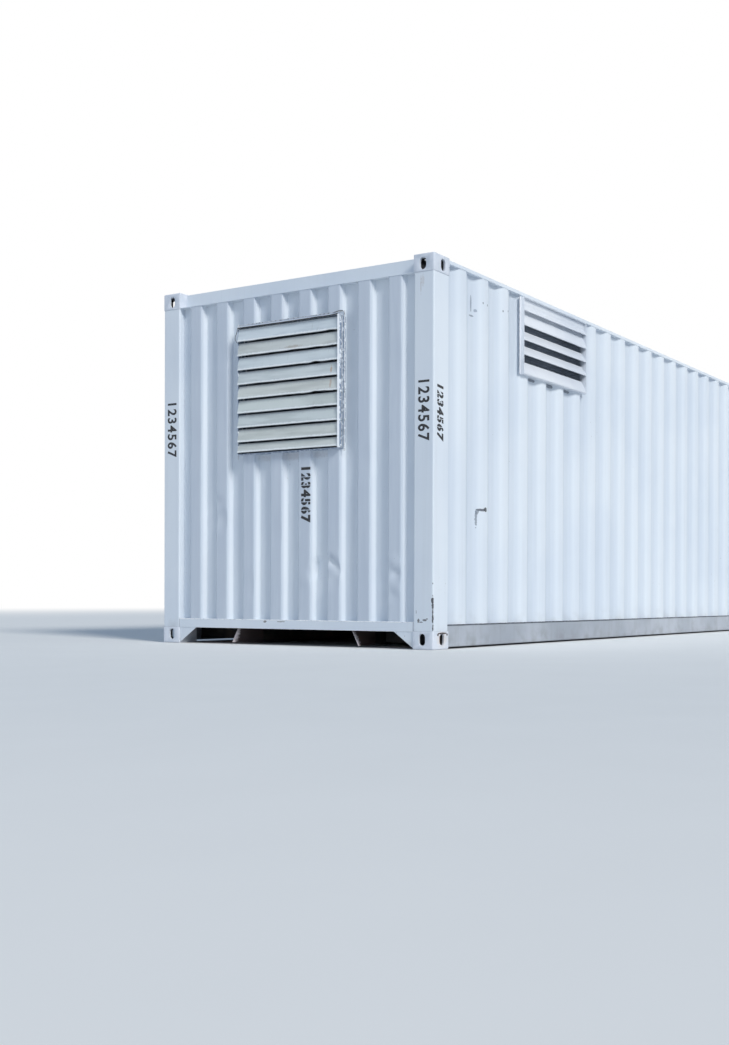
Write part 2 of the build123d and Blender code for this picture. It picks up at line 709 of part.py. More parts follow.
def leaf_frame():
    """Frame of the right door leaf, four tubes round its panel."""
    x_span = (LEAF_FACE - LEAF_DEPTH, LEAF_FACE)
    z_span = (LEAF_BOTTOM, LEAF_TOP)
    rail_y = (LEAF_OUTER + LEAF_STILE, LEAF_INNER - LEAF_STILE)
    outer_stile = square_tube(x_span, (LEAF_OUTER, rail_y[0]), z_span, LEAF_WALL, 2)
    inner_stile = square_tube(x_span, (rail_y[1], LEAF_INNER), z_span, LEAF_WALL, 2)
    foot_rail = square_tube(x_span, rail_y, (LEAF_BOTTOM, LEAF_BOTTOM + LEAF_RAIL), LEAF_WALL, 1)
    head_rail = square_tube(x_span, rail_y, (LEAF_TOP - LEAF_RAIL, LEAF_TOP), LEAF_WALL, 1)
    return outer_stile + [inner_stile, foot_rail, head_rail]


def leaf_crests():
    """Centres of the ribs of the right leaf's panel, from the hinges to the middle."""
    start = LEAF_OUTER + LEAF_STILE
    pitch = (LEAF_INNER - LEAF_STILE - start) / LEAF_RIB_COUNT
    return [start + pitch * (index + 0.5) for index in range(LEAF_RIB_COUNT)]


def leaf_panel():
    """Ribbed sheet inside the frame of the right door leaf."""
    line = corrugation_line(
        LEAF_OUTER + LEAF_STILE, LEAF_INNER - LEAF_STILE, leaf_crests(),
        LEAF_RIB_CREST, LEAF_RIB_SLOPE, LEAF_RIB_DEPTH,
    )
    points = [(LEAF_FACE - LEAF_WALL - depth, along) for along, depth in line]
    base = LEAF_BOTTOM + LEAF_RAIL
    return prism(folded(points, LEAF_SHEET), Plane.XY.offset(base), LEAF_TOP - LEAF_RAIL - base)


def leaf_gasket():
    """Rubber lip round the back of the right leaf, which closes the gap to the frame."""
    x_span = (LEAF_FACE - LEAF_DEPTH - GASKET, LEAF_FACE - LEAF_DEPTH)
    outer = block(
        x_span,
        (RIGHT + REAR_POST_WIDTH + GASKET_CLEARANCE, -GASKET_CLEARANCE),
        (SILL_TOP + GASKET_CLEARANCE, HEADER_BOTTOM - GASKET_CLEARANCE),
    )
    hole = block(
        x_span,
        (LEAF_OUTER + GASKET_LAP, LEAF_INNER - GASKET_LAP),
        (LEAF_BOTTOM + GASKET_LAP, LEAF_TOP - GASKET_LAP),
    )
    return outer - hole


def lock_rods():
    """Lock rods of the right leaf, each with a cam at its head and foot."""
    rods = []
    for y in (OUTER_ROD_Y, INNER_ROD_Y):
        middle = Pos(ROD_X, y, (ROD_FOOT + ROD_HEAD) / 2)
        rod = middle * Cylinder(LOCK_ROD / 2, ROD_HEAD - ROD_FOOT)
        bore = middle * Cylinder(LOCK_ROD / 2 - LOCK_ROD_WALL, ROD_HEAD - ROD_FOOT)
        cams = []
        for level in (ROD_FOOT, ROD_HEAD - CAM_HEIGHT):
            cams.append(block(
                (ROD_X - CAM_THICKNESS / 2, ROD_X + CAM_THICKNESS / 2),
                (y - CAM_REACH, y),
                (level, level + CAM_HEIGHT),
            ))
        rods.append((rod + cams) - bore)
    return group(rods)


def cam_keepers():
    """Keepers on the sill and header, each a pair of jaws round the end of a cam."""
    keepers = []
    half_slot = CAM_THICKNESS / 2 + KEEPER_CLEARANCE
    for y in (OUTER_ROD_Y, INNER_ROD_Y):
        tip = y - CAM_REACH
        slot_end = tip - KEEPER_CLEARANCE
        for level in (ROD_FOOT, ROD_HEAD - CAM_HEIGHT):
            z_span = (level, level + CAM_HEIGHT)
            body = block(
                (LEAF_FACE, ROD_X + half_slot + KEEPER_JAW),
                (slot_end - KEEPER_JAW, tip + KEEPER_BITE),
                z_span,
            )
            slot = block(
                (ROD_X - half_slot, ROD_X + half_slot), (slot_end, tip + KEEPER_BITE), z_span
            )
            keepers.append(body - slot)
    return group(keepers + [mirrored(keeper) for keeper in keepers])


def rod_brackets():
    """Straps that hold the lock rods of the right leaf against its frame."""
    brackets = []
    reach = LOCK_ROD / 2 + ROD_CLEARANCE
    foot_x = LEAF_FACE
    strap = [
        (foot_x, -reach - ROD_BRACKET_PLATE - ROD_BRACKET_FOOT),
        (foot_x, -reach - ROD_BRACKET_PLATE),
        (ROD_X, -reach - ROD_BRACKET_PLATE),
        (ROD_X + reach, -reach / 2),
        (ROD_X + reach, reach / 2),
        (ROD_X, reach + ROD_BRACKET_PLATE),
        (foot_x, reach + ROD_BRACKET_PLATE),
        (foot_x, reach + ROD_BRACKET_PLATE + ROD_BRACKET_FOOT),
    ]
    for y in (OUTER_ROD_Y, INNER_ROD_Y):
        outline = [(x, y + offset) for x, offset in strap]
        for level in (LEAF_BOTTOM + LEAF_RAIL / 2, LEAF_TOP - LEAF_RAIL / 2):
            base = Plane.XY.offset(level - ROD_BRACKET_HEIGHT / 2)
            brackets.append(prism(folded(outline, -ROD_BRACKET_PLATE), base, ROD_BRACKET_HEIGHT))
    return group(brackets)


def lock_handle(rod_y, catch_y, level):
    """Handle that folds across the leaf from its rod into a catch on a rib."""
    direction = 1 if catch_y > rod_y else -1
    middle = level + HANDLE_BAR / 2
    bar_x = ROD_X + LOCK_ROD / 2 + HUB_WALL
    hub_radius = LOCK_ROD / 2 + HUB_WALL
    hub = Pos(ROD_X, rod_y, middle) * Cylinder(hub_radius, HUB_HEIGHT)
    hub -= Pos(ROD_X, rod_y, middle) * Cylinder(LOCK_ROD / 2, HUB_HEIGHT)
    fork = block(
        (ROD_X + LOCK_ROD / 2, bar_x + HANDLE_THICKNESS),
        (rod_y - HUB_WALL, rod_y + HUB_WALL),
        (level, level + HANDLE_BAR),
    )
    bar = block(
        (bar_x, bar_x + HANDLE_THICKNESS),
        sorted((rod_y, catch_y + direction * HANDLE_OVERHANG)),
        (level, level + HANDLE_BAR),
    )
    catch = block(
        (LEAF_FACE - LEAF_WALL, bar_x + HANDLE_THICKNESS + CATCH_CLEARANCE + CATCH_WALL),
        (catch_y - CATCH_WIDTH / 2, catch_y + CATCH_WIDTH / 2),
        (level - CATCH_CLEARANCE - CATCH_WALL, level + HANDLE_BAR + CATCH_CLEARANCE + CATCH_WALL),
    )
    throat = block(
        (bar_x - CATCH_CLEARANCE, bar_x + HANDLE_THICKNESS + CATCH_CLEARANCE),
        (catch_y - CATCH_WIDTH / 2, catch_y + CATCH_WIDTH / 2),
        (level - CATCH_CLEARANCE, level + HANDLE_BAR + CATCH_CLEARANCE),
    )
    return [hub + fork + bar, catch - throat]


def lock_handles():
    """Handles and catches of the right leaf, the two handles on different levels."""
    crests = leaf_crests()
    outer = lock_handle(OUTER_ROD_Y, crests[-2], OUTER_HANDLE_LEVEL)
    inner = lock_handle(INNER_ROD_Y, crests[1], INNER_HANDLE_LEVEL)
    return group(outer + inner)


def hinge_levels():
    """Middles of the hinges of a leaf."""
    step = (LEAF_TOP - LEAF_BOTTOM) / HINGE_COUNT
    return [LEAF_BOTTOM + step * (index + 0.5) for index in range(HINGE_COUNT)]


def door_hinges():
    """Hinges of the right leaf, each a tapered blade and a knuckle beside the post."""
    post_face = RIGHT + REAR_POST_WIDTH
    pin_y = post_face + HINGE_CLEARANCE + HINGE_KNUCKLE / 2
    pin_x = LEAF_FACE + HINGE_CLEARANCE + HINGE_KNUCKLE / 2
    half_height = HINGE_HEIGHT / 2
    half_tip = HINGE_TIP_HEIGHT / 2
    hinges = []
    for level in hinge_levels():
        outline = [
            (pin_y, level - half_height),
            (LEAF_OUTER + HINGE_KNUCKLE, level - half_height),
            (LEAF_OUTER + HINGE_REACH, level - half_tip),
            (LEAF_OUTER + HINGE_REACH, level + half_tip),
            (LEAF_OUTER + HINGE_KNUCKLE, level + half_height),
            (pin_y, level + half_height),
        ]
        blade = prism(outline, Plane.YZ.offset(LEAF_FACE), HINGE_BLADE)
        knuckle = Pos(pin_x, pin_y, level) * Cylinder(HINGE_KNUCKLE / 2, HINGE_HEIGHT)
        hinges.append(blade + knuckle)
    return group(in_both_sides(group(hinges)))


def hinge_lugs():
    """Lugs on the rear posts, one above and one below each hinge."""
    post_face = RIGHT + REAR_POST_WIDTH
    lugs = []
    for level in hinge_levels():
        for z in (level - HINGE_HEIGHT / 2 - HINGE_LUG, level + HINGE_HEIGHT / 2):
            lugs.append(block(
                (LEAF_FACE + HINGE_CLEARANCE, LEAF_FACE + HINGE_CLEARANCE + HINGE_LUG),
                (post_face, post_face + HINGE_LUG),
                (z, z + HINGE_LUG),
            ))
    return group(in_both_sides(group(lugs)))


def louvre_blades(width, bottom, top, front, head, pitch, rise, run):
    """Folded blades that face -Y between the sides of a louvre, from the head down."""
    levels = []
    foot = bottom + LOUVRE_SHEET + LOUVRE_FOOT
    while top - head - len(levels) * pitch > foot + pitch / 2:
        levels.append(top - head - len(levels) * pitch)
    half_width = width / 2 - LOUVRE_SHEET
    plane = Plane.YZ.offset(-half_width)
    blades = []
    for lip in levels + [foot]:
        profile = [
            (front + BLADE_HEM, lip),
            (front, lip),
            (front, lip + BLADE_LIP),
            (front + run, lip + BLADE_LIP + rise),
            (front + run + BLADE_STRIP_RUN, lip + BLADE_LIP + rise + BLADE_STRIP_RISE),
        ]
        blades.append(prism(folded(profile, -LOUVRE_SHEET), plane, 2 * half_width))
    return group(blades)


def end_louvre():
    """Frame and blades of the louvre in the front wall, a flange on the crests round three sides."""
    top = HEIGHT - END_LOUVRE_DROP
    bottom = top - END_LOUVRE_HEIGHT
    half_width = END_LOUVRE_WIDTH / 2
    sleeve = square_tube(
        (-half_width, half_width), (-END_LOUVRE_STAND, END_LOUVRE_INSIDE), (bottom, top), LOUVRE_SHEET, 1
    )
    flange = block(
        (-half_width - END_LOUVRE_FLANGE, half_width + END_LOUVRE_FLANGE),
        (-LOUVRE_SHEET, 0),
        (bottom, top + END_LOUVRE_FLANGE),
    )
    flange -= block((-half_width, half_width), (-LOUVRE_SHEET, 0), (bottom, top))
    blades = louvre_blades(
        END_LOUVRE_WIDTH, bottom, top, -END_LOUVRE_STAND - END_BLADE_PROUD,
        END_LOUVRE_HEAD, END_BLADE_PITCH, END_BLADE_RISE, END_BLADE_RUN,
    )
    place = Pos(FRONT + WALL_SETBACK, 0, 0) * Rot(0, 0, -90)
    return place * (sleeve + flange), place * blades


def side_louvre():
    """Frame and blades of the louvre in the right wall, inside wide face strips."""
    top = HEIGHT - SIDE_LOUVRE_DROP
    bottom = top - SIDE_LOUVRE_HEIGHT
    half_width = SIDE_LOUVRE_WIDTH / 2
    half_window = half_width - SIDE_LOUVRE_STILE
    window_z = (bottom + SIDE_LOUVRE_EDGE, top - SIDE_LOUVRE_EDGE)
    face_y = (-SIDE_LOUVRE_STAND, -SIDE_LOUVRE_STAND + LOUVRE_SHEET)
    skirt = square_tube(
        (-half_width, half_width), (-SIDE_LOUVRE_STAND, 0), (bottom, top), LOUVRE_SHEET, 1
    )
    face = block((-half_width, half_width), face_y, (bottom, top))
    face -= block((-half_window, half_window), face_y, window_z)
    sleeve = square_tube(
        (-half_window, half_window), (-SIDE_LOUVRE_STAND, SIDE_LOUVRE_INSIDE), window_z, LOUVRE_SHEET, 1
    )
    blades = louvre_blades(
        2 * half_window, window_z[0], window_z[1], -SIDE_LOUVRE_STAND - SIDE_BLADE_PROUD,
        SIDE_LOUVRE_HEAD - SIDE_LOUVRE_EDGE, SIDE_BLADE_PITCH, SIDE_BLADE_RISE, SIDE_BLADE_RUN,
    )
    place = Pos(FRONT + SIDE_LOUVRE_FROM_END + half_width, RIGHT + WALL_SETBACK, 0)
    return place * (skirt + face + sleeve), place * blades


def all_nodes():
    """Every named piece of the container."""
    nodes = casting_pairs()
    for name, piece in (("front_post", front_post()), ("rear_post", rear_post())):
        nodes[name + "_right"] = piece
        nodes[name + "_left"] = mirrored(piece)
    nodes["front_wall"] = front_wall()
    nodes["right_wall"] = right_wall()
    nodes["left_wall"] = mirrored(side_wall())
    nodes["front_top_rail"] = front_top_rail()
    nodes["front_bottom_rail"] = front_bottom_rail()
    nodes["front_gussets"] = front_gussets()
    for name, piece in (("top_rail", top_side_rail()), ("bottom_rail", bottom_side_rail())):
        nodes[name + "_right"] = piece
        nodes[name + "_left"] = mirrored(piece)
    nodes["roof"] = roof()
    nodes["roof_corner_plates"] = corner_plates()
    nodes["tunnel_plate"] = tunnel_plate()
    nodes["tunnel_beams"] = tunnel_beams()
    nodes["tunnel_cheeks"] = tunnel_cheeks()
    nodes["tunnel_bolster"] = tunnel_bolster()
    nodes["outriggers"] = outriggers()
    nodes["cross_members"] = cross_members()
    nodes["floor"] = floor()
    nodes["rear_header"] = rear_header()
    nodes["rear_sill"] = rear_sill()
    for name, piece in (
        ("door_frame", leaf_frame()),
        ("door_panel", leaf_panel()),
        ("door_gasket", leaf_gasket()),
    ):
        nodes[name + "_right"] = piece
        nodes[name + "_left"] = mirrored(piece)
    nodes["lock_rods"] = group(in_both_sides(lock_rods()))
    nodes["rod_brackets"] = group(in_both_sides(rod_brackets()))
    nodes["lock_handles"] = group(in_both_sides(lock_handles()))
    nodes["cam_keepers"] = cam_keepers()
    nodes["door_hinges"] = door_hinges()
    nodes["hinge_lugs"] = hinge_lugs()
    nodes["end_louvre_frame"], nodes["end_louvre_blades"] = end_louvre()
    nodes["side_louvre_frame"], nodes["side_louvre_blades"] = side_louvre()
    return nodes


os.makedirs("parts", exist_ok=True)
for node_name, shape in all_nodes().items():
    export_step(shape, "parts/" + node_name + ".step")
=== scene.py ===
"""Dresses a louvred forty-foot container: enamelled walls, castings, louvres, welds, stencils and studio."""
import logging
import math
import random
from contextlib import contextmanager
from dataclasses import dataclass, field
from enum import Enum
from functools import cached_property, lru_cache
from typing import Any, Callable, Iterator, Sequence

import bmesh
import bpy
from mathutils import Euler, Matrix, Vector


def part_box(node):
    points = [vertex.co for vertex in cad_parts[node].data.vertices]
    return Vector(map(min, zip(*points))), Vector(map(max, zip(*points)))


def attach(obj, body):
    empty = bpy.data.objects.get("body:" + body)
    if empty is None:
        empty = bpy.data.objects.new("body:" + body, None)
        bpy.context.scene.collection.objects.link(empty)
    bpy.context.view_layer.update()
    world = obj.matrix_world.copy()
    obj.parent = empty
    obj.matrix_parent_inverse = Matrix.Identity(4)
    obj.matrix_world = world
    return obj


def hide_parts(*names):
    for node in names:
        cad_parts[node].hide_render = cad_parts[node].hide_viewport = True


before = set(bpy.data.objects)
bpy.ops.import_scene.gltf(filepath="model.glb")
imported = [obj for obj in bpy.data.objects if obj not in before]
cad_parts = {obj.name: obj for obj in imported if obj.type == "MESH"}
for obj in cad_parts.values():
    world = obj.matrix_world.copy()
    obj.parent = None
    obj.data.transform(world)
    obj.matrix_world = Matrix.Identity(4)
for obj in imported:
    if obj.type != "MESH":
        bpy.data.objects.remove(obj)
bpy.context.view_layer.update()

MM = 0.001
BODY = "root"
UP = Vector((0, 0, 1))
# An edge this near to a plane counts as lying in it.
PLANE_SLACK_MM = 0.3
log = logging.getLogger("container")


class Slot(Enum):
    """Material slots of the record."""

    ENAMEL = "white_paint"
    LOUVRE = "louvre_metal"
    ZINC = "galvanised_steel"
    PLYWOOD = "plywood"
    RUBBER = "rubber"


class Side(Enum):
    """Long sides, as the sign of Y."""

    RIGHT = -1
    LEFT = 1


class Fade(Enum):
    """How a dent fades into the sheet round it, as the falloff of a proportional move."""

    SOFT = "SMOOTH"
    CREASED = "LINEAR"


class End(Enum):
    """Ends of the container, as the sign of X."""

    FRONT = -1
    REAR = 1


def linear(colour: str) -> tuple[float, float, float, float]:
    """Turn an sRGB hex colour into linear values with full alpha.

    Args:
        colour: Six hex digits after a hash sign.

    Returns:
        The linear red, green and blue, and 1 for alpha.
    """
    channels = [int(colour[start:start + 2], 16) / 255 for start in (1, 3, 5)]
    low = [c / 12.92 if c <= 0.04045 else ((c + 0.055) / 1.055) ** 2.4 for c in channels]
    return (low[0], low[1], low[2], 1.0)


class NodeTree:
    """Nodes of a finish or of the world."""

    def __init__(self, owner: bpy.types.Material | bpy.types.World) -> None:
        """Start with no nodes.

        Args:
            owner: Material or world that the nodes belong to.
        """
        owner.use_nodes = True
        self.tree = owner.node_tree
        self.tree.nodes.clear()

    def add(self, kind: str, links: dict[Any, Any] | None = None, **settings: Any) -> bpy.types.Node:
        """Add a node with its settings, and fill its inputs.

        Args:
            kind: Blender's name of the node, after the words ShaderNode.
            links: Input name or number, and the value, the output or the node that feeds it.
            **settings: Attributes of the node.

        Returns:
            The new node.
        """
        node = self.tree.nodes.new("ShaderNode" + kind)
        for key, value in settings.items():
            setattr(node, key, value)
        for key, value in (links or {}).items():
            source = value.outputs[0] if isinstance(value, bpy.types.Node) else value
            if isinstance(source, bpy.types.NodeSocket):
                self.tree.links.new(source, node.inputs[key])
            else:
                node.inputs[key].default_value = source
        return node

    @cached_property
    def place(self) -> bpy.types.NodeSocket:
        """The object's own coordinates, in metres."""
        return self.add("TexCoord").outputs["Object"]


@dataclass(frozen=True, kw_only=True)
class Pattern:
    """Pattern over a surface, stretched smoothly where a span is given.

    Attributes:
        span: The two levels of the raw pattern between which it changes.
        cover: What the pattern gives at those levels.
    """

    span: tuple[float, float] | None = None
    cover: tuple[float, float] = (0.0, 1.0)

    def raw(self, tree: NodeTree) -> Any:
        """Add the nodes of the unstretched pattern, which each kind of pattern has of its own."""
        raise NotImplementedError

    def draw(self, tree: NodeTree) -> Any:
        """Add all nodes of the pattern.

        Args:
            tree: Nodes of the finish.

        Returns:
            The output or the node that gives the pattern.
        """
        raw = self.raw(tree)
        if self.span is None:
            return raw
        levels = dict(zip(("From Min", "From Max", "To Min", "To Max"), self.span + self.cover))
        return tree.add("MapRange", {"Value": raw, **levels}, interpolation_type="SMOOTHSTEP")


@dataclass(frozen=True)
class Cloud(Pattern):
    """Cloudy lumps, as dirt, wear and the marks of tools lie.

    Attributes:
        size_mm: Size of a lump, alike all round or along each axis.
        detail: Octaves of finer lumps.
        weight: Weight of the finer lumps.
    """

    size_mm: float | tuple[float, float, float]
    detail: float = 3.0
    weight: float = 0.5

    def raw(self, tree: NodeTree) -> Any:
        """Add the lumps.

        Args:
            tree: Nodes of the finish.

        Returns:
            The lumps, from 0 to 1.
        """
        sizes = self.size_mm if isinstance(self.size_mm, tuple) else (self.size_mm,) * 3
        stretched = tree.add("Mapping", {"Vector": tree.place, "Scale": [1 / (size * MM) for size in sizes]})
        lumps = {"Vector": stretched, "Scale": 1.0, "Detail": self.detail, "Roughness": self.weight}
        return tree.add("TexNoise", lumps)


@dataclass(frozen=True)
class Level(Pattern):
    """Place along one axis, in metres.

    Attributes:
        axis: The axis.
    """

    axis: str

    def raw(self, tree: NodeTree) -> Any:
        """Take one coordinate."""
        return tree.add("SeparateXYZ", {0: tree.place}).outputs[self.axis]


@dataclass(frozen=True)
class BladeShare(Pattern):
    """Share of the way from one louvre lip up to the next, a little ragged.

    Attributes:
        lowest_mm: Level of the lowest lip.
        pitch_mm: Distance between lips.
    """

    lowest_mm: float
    pitch_mm: float

    def raw(self, tree: NodeTree) -> Any:
        """Count the lips up to a point and keep the rest.

        Args:
            tree: Nodes of the finish.

        Returns:
            The share, from 0 to 1.
        """
        height = tree.add("Math", {0: Level("Z").draw(tree), 1: self.lowest_mm * MM}, operation="SUBTRACT")
        lips = tree.add("Math", {0: height, 1: self.pitch_mm * MM}, operation="DIVIDE")
        share = tree.add("Math", {0: lips}, operation="FRACT")
        wander = Cloud(12, 3, span=(0.3, 0.7), cover=(-0.03, 0.03)).draw(tree)
        return tree.add("Math", {0: share, 1: wander}, operation="ADD")


@dataclass(frozen=True)
class Crystals(Pattern):
    """Flat crystals, each with a tone of its own.

    Attributes:
        size_mm: Width of a crystal.
    """

    size_mm: float

    def raw(self, tree: NodeTree) -> Any:
        """Add the crystals.

        Args:
            tree: Nodes of the finish.

        Returns:
            The tone of each crystal.
        """
        crystals = tree.add("TexVoronoi", {"Vector": tree.place, "Scale": 1 / (self.size_mm * MM)})
        return tree.add("SeparateXYZ", {0: crystals.outputs["Color"]})


@dataclass(frozen=True)
class Following(Pattern):
    """Another pattern, stretched once more.

    Attributes:
        leader: The other pattern.
    """

    leader: Pattern

    def raw(self, tree: NodeTree) -> Any:
        """Draw the other pattern."""
        return self.leader.draw(tree)


@dataclass(frozen=True)
class Blemish:
    """Mark on a coat, as a ragged ellipsoid that colours what it meets.

    Attributes:
        centre_mm: Middle of the mark.
        reach_mm: Half size along each axis.
        colour: Colour at its middle.
        ragged: Share of its size by which the outline wanders.
        cover: How much of the coat it hides.
        soft: Share of its size over which it fades.
    """

    centre_mm: tuple[float, float, float]
    reach_mm: tuple[float, float, float]
    colour: str
    ragged: float = 0.5
    cover: float = 0.9
    soft: float = 0.25

    def draw(self, tree: NodeTree, grain: Any) -> Any:
        """Add the nodes of the mark.

        Args:
            tree: Nodes of the finish.
            grain: Fine pattern that makes the outline wander.

        Returns:
            The cover of the mark.
        """
        scale = [1 / (reach * MM) for reach in self.reach_mm]
        shift = [-centre / reach for centre, reach in zip(self.centre_mm, self.reach_mm)]
        local = tree.add("Mapping", {"Vector": tree.place, "Location": shift, "Scale": scale})
        distance = tree.add("VectorMath", {0: local}, operation="LENGTH").outputs["Value"]
        wander = tree.add("Math", {0: grain, 1: 2 * self.ragged, 2: -self.ragged}, operation="MULTIPLY_ADD")
        outline = tree.add("Math", {0: distance, 1: wander}, operation="ADD")
        levels = {"Value": outline, "From Min": 1.0, "From Max": 1.0 - self.soft, "To Max": self.cover}
        return tree.add("MapRange", levels, interpolation_type="SMOOTHSTEP")


@dataclass(frozen=True)
class Film:
    """Film of another colour over a coat.

    Attributes:
        colour: The film.
        pattern: How it covers the coat.
        within: Second pattern, to which the first one keeps.
    """

    colour: str
    pattern: Pattern
    within: Pattern | None = None

    def draw(self, tree: NodeTree) -> Any:
        """Add the nodes of the film's cover.

        Args:
            tree: Nodes of the finish.

        Returns:
            The cover of the film.
        """
        cover = self.pattern.draw(tree)
        if self.within is None:
            return cover
        return tree.add("Math", {0: cover, 1: self.within.draw(tree)}, operation="MULTIPLY")


@dataclass(frozen=True)
class ShadeBand:
    """Film of painted shade that keeps to the crests or to the recesses of a corrugated sheet.

    Attributes:
        axis: Axis across the corrugations' depth.
        unshaded_mm: Level on that axis where the coat has no painted shade.
        shaded_mm: Level where the painted shade is whole.
        colour: The painted shade.
        cover: How much of the coat it hides.
    """

    axis: str
    unshaded_mm: float
    shaded_mm: float
    colour: str
    cover: float

    def film(self) -> Film:
        """Film of the band, thinner in streaks down the sheet.

        Returns:
            The film.
        """
        depth = Level(self.axis, span=(self.unshaded_mm * MM, self.shaded_mm * MM))
        thinnest = 0.72 * self.cover
        streaks = Cloud((60, 60, 700), 3, 0.6, span=(0.25, 0.65), cover=(thinnest, self.cover))
        return Film(self.colour, depth, streaks)


@dataclass(frozen=True)
class Relief:
    """Pattern that stands out of a surface.

    Attributes:
        pattern: The pattern.
        depth_mm: Its height.
        strength: Share of that height that shows.
    """

    pattern: Pattern
    depth_mm: float
    strength: float


@dataclass(frozen=True)
class Recipe:
    """What a finish is made of.

    Attributes:
        colour: The clean coat.
        films: Films over it, the lowest first.
        reliefs: Reliefs of the surface, the coarsest first.
        roughness: Roughness over the surface.
        inputs: Other inputs of the surface shader.
        grain: Fine pattern by which the outlines of blemishes wander.
    """

    colour: str
    films: tuple[Film, ...]
    reliefs: tuple[Relief, ...]
    roughness: Pattern
    inputs: dict[str, float]
    grain: Cloud = Cloud(14)


@dataclass(frozen=True)
class Finish:
    """Finish of a piece.

    Attributes:
        name: Name of the finish.
        blemishes: Chips, rust, scrapes and painted shadows at known places.
    """

    name: str
    blemishes: tuple[Blemish, ...] = field(default=(), kw_only=True)

    def recipe(self) -> Recipe:
        """What the finish is made of, which each kind of finish says for itself."""
        raise NotImplementedError

    @lru_cache(maxsize=None)
    def material(self) -> bpy.types.Material:
        """Build the finish's material once.

        Returns:
            The material.
        """
        recipe = self.recipe()
        material = bpy.data.materials.new(self.name)
        tree = NodeTree(material)
        grain = recipe.grain.draw(tree)
        layers = [(film.colour, film.draw(tree)) for film in recipe.films]
        layers += [(blemish.colour, blemish.draw(tree, grain)) for blemish in self.blemishes]
        coat = linear(recipe.colour)
        for colour, cover in layers:
            coat = tree.add("Mix", {0: cover, 6: coat, 7: linear(colour)}, data_type="RGBA").outputs[2]
        normal = {}
        for relief in recipe.reliefs:
            links = {"Height": relief.pattern.draw(tree), "Distance": relief.depth_mm * MM,
                     "Strength": relief.strength, **normal}
            normal = {"Normal": tree.add("Bump", links)}
        skin = {"Base Color": coat, "Roughness": recipe.roughness.draw(tree), **normal, **recipe.inputs}
        tree.add("OutputMaterial", {"Surface": tree.add("BsdfPrincipled", skin)})
        return material


@dataclass(frozen=True)
class Enamel(Finish):
    """Enamel sprayed on rolled steel: a slight orange peel, dull where rain has run and dust has stuck, with
    painted shade along the corrugations and towards the foot.

    Attributes:
        colour: Clean coat.
        worn: Coat that has chalked.
        grime_and_shade: Colour of the runs, and of the dust and painted shade towards the foot.
        runs: Cover of the rain runs.
        dust_and_shade_top_mm: Height up to which splashed dust and painted shade fade out.
        ripple_mm: Depth of the sheet's soft waves.
        shade_bands: Films of painted shade along the corrugations.
    """

    colour: str = "#DFE6ED"
    worn: str = "#D8E0E9"
    grime_and_shade: str = "#8E8C8A"
    runs: float = 0.06
    dust_and_shade_top_mm: float = 420.0
    ripple_mm: float = 1.6
    shade_bands: tuple[ShadeBand, ...] = ()

    def recipe(self) -> Recipe:
        """Lay chalk, rain runs, bands of painted shade, dust with painted shade towards the foot, and chips
        over a satin coat.

        Returns:
            The recipe.
        """
        # Rain runs are 30 to 60 mm wide and a metre long, so the pattern is stretched down the wall.
        runs = Cloud((46, 46, 1400), 3, 0.6, span=(0.5, 0.78), cover=(0.0, self.runs))
        # Splashed dust and painted shade: the coat darkens towards the foot.
        dust_and_shade = Level("Z", span=(self.dust_and_shade_top_mm * MM, 0.0), cover=(0.0, 0.5))
        # Chips of 3 to 8 mm sit in loose clusters of about 350 mm.
        chips = Film("#6B5648", Cloud(11, 1, span=(0.74, 0.78)), Cloud(350, 2, span=(0.6, 0.72)))
        # Orange peel is under 2 mm across; it is drawn at 7 mm so that the gloss breaks up in the picture.
        peel = Relief(Cloud(7, 2), 0.05, 0.5)
        return Recipe(
            self.colour,
            (Film(self.worn, Cloud(900, 4, span=(0.35, 0.65))), Film(self.grime_and_shade, runs),
             # Painted shade along the corrugations.
             *(band.film() for band in self.shade_bands),
             Film(self.grime_and_shade, dust_and_shade, Cloud(120, 4, span=(0.42, 0.72))), chips),
            (Relief(Cloud((240, 240, 520), 2), self.ripple_mm, 0.6), peel),
            Cloud(900, 4, span=(0.3, 0.7), cover=(0.34, 0.48)),
            {"IOR": 1.5, "Coat Weight": 0.15, "Coat Roughness": 0.25},
        )


@dataclass(frozen=True)
class CastEnamel(Finish):
    """Enamel brushed over cast steel: the sand texture stands through the coat and rust bleeds at the holes.

    Attributes:
        colour: Clean coat.
        worn: Coat that has chalked.
        bare: Rusty metal where the coat is gone.
    """

    colour: str = "#D9DEE7"
    worn: str = "#CDD4DE"
    bare: str = "#4A3A33"

    def recipe(self) -> Recipe:
        """Lay chalk and small bare spots over a coat with the mould's grain.

        Returns:
            The recipe.
        """
        # Sand moulds leave grains of 1 to 2 mm; they are drawn at 5 mm.
        sand = Relief(Cloud(5), 0.35, 0.55)
        return Recipe(
            self.colour,
            (Film(self.worn, Cloud(70, 4, span=(0.4, 0.66))),
             Film(self.bare, Cloud(26, 5, 0.62, span=(0.72, 0.78)))),
            (sand, Relief(Cloud(38, 2), 1.4, 0.5)),
            Cloud(9, 4, span=(0.35, 0.65), cover=(0.42, 0.6)),
            {"IOR": 1.5}, Cloud(9, 4),
        )


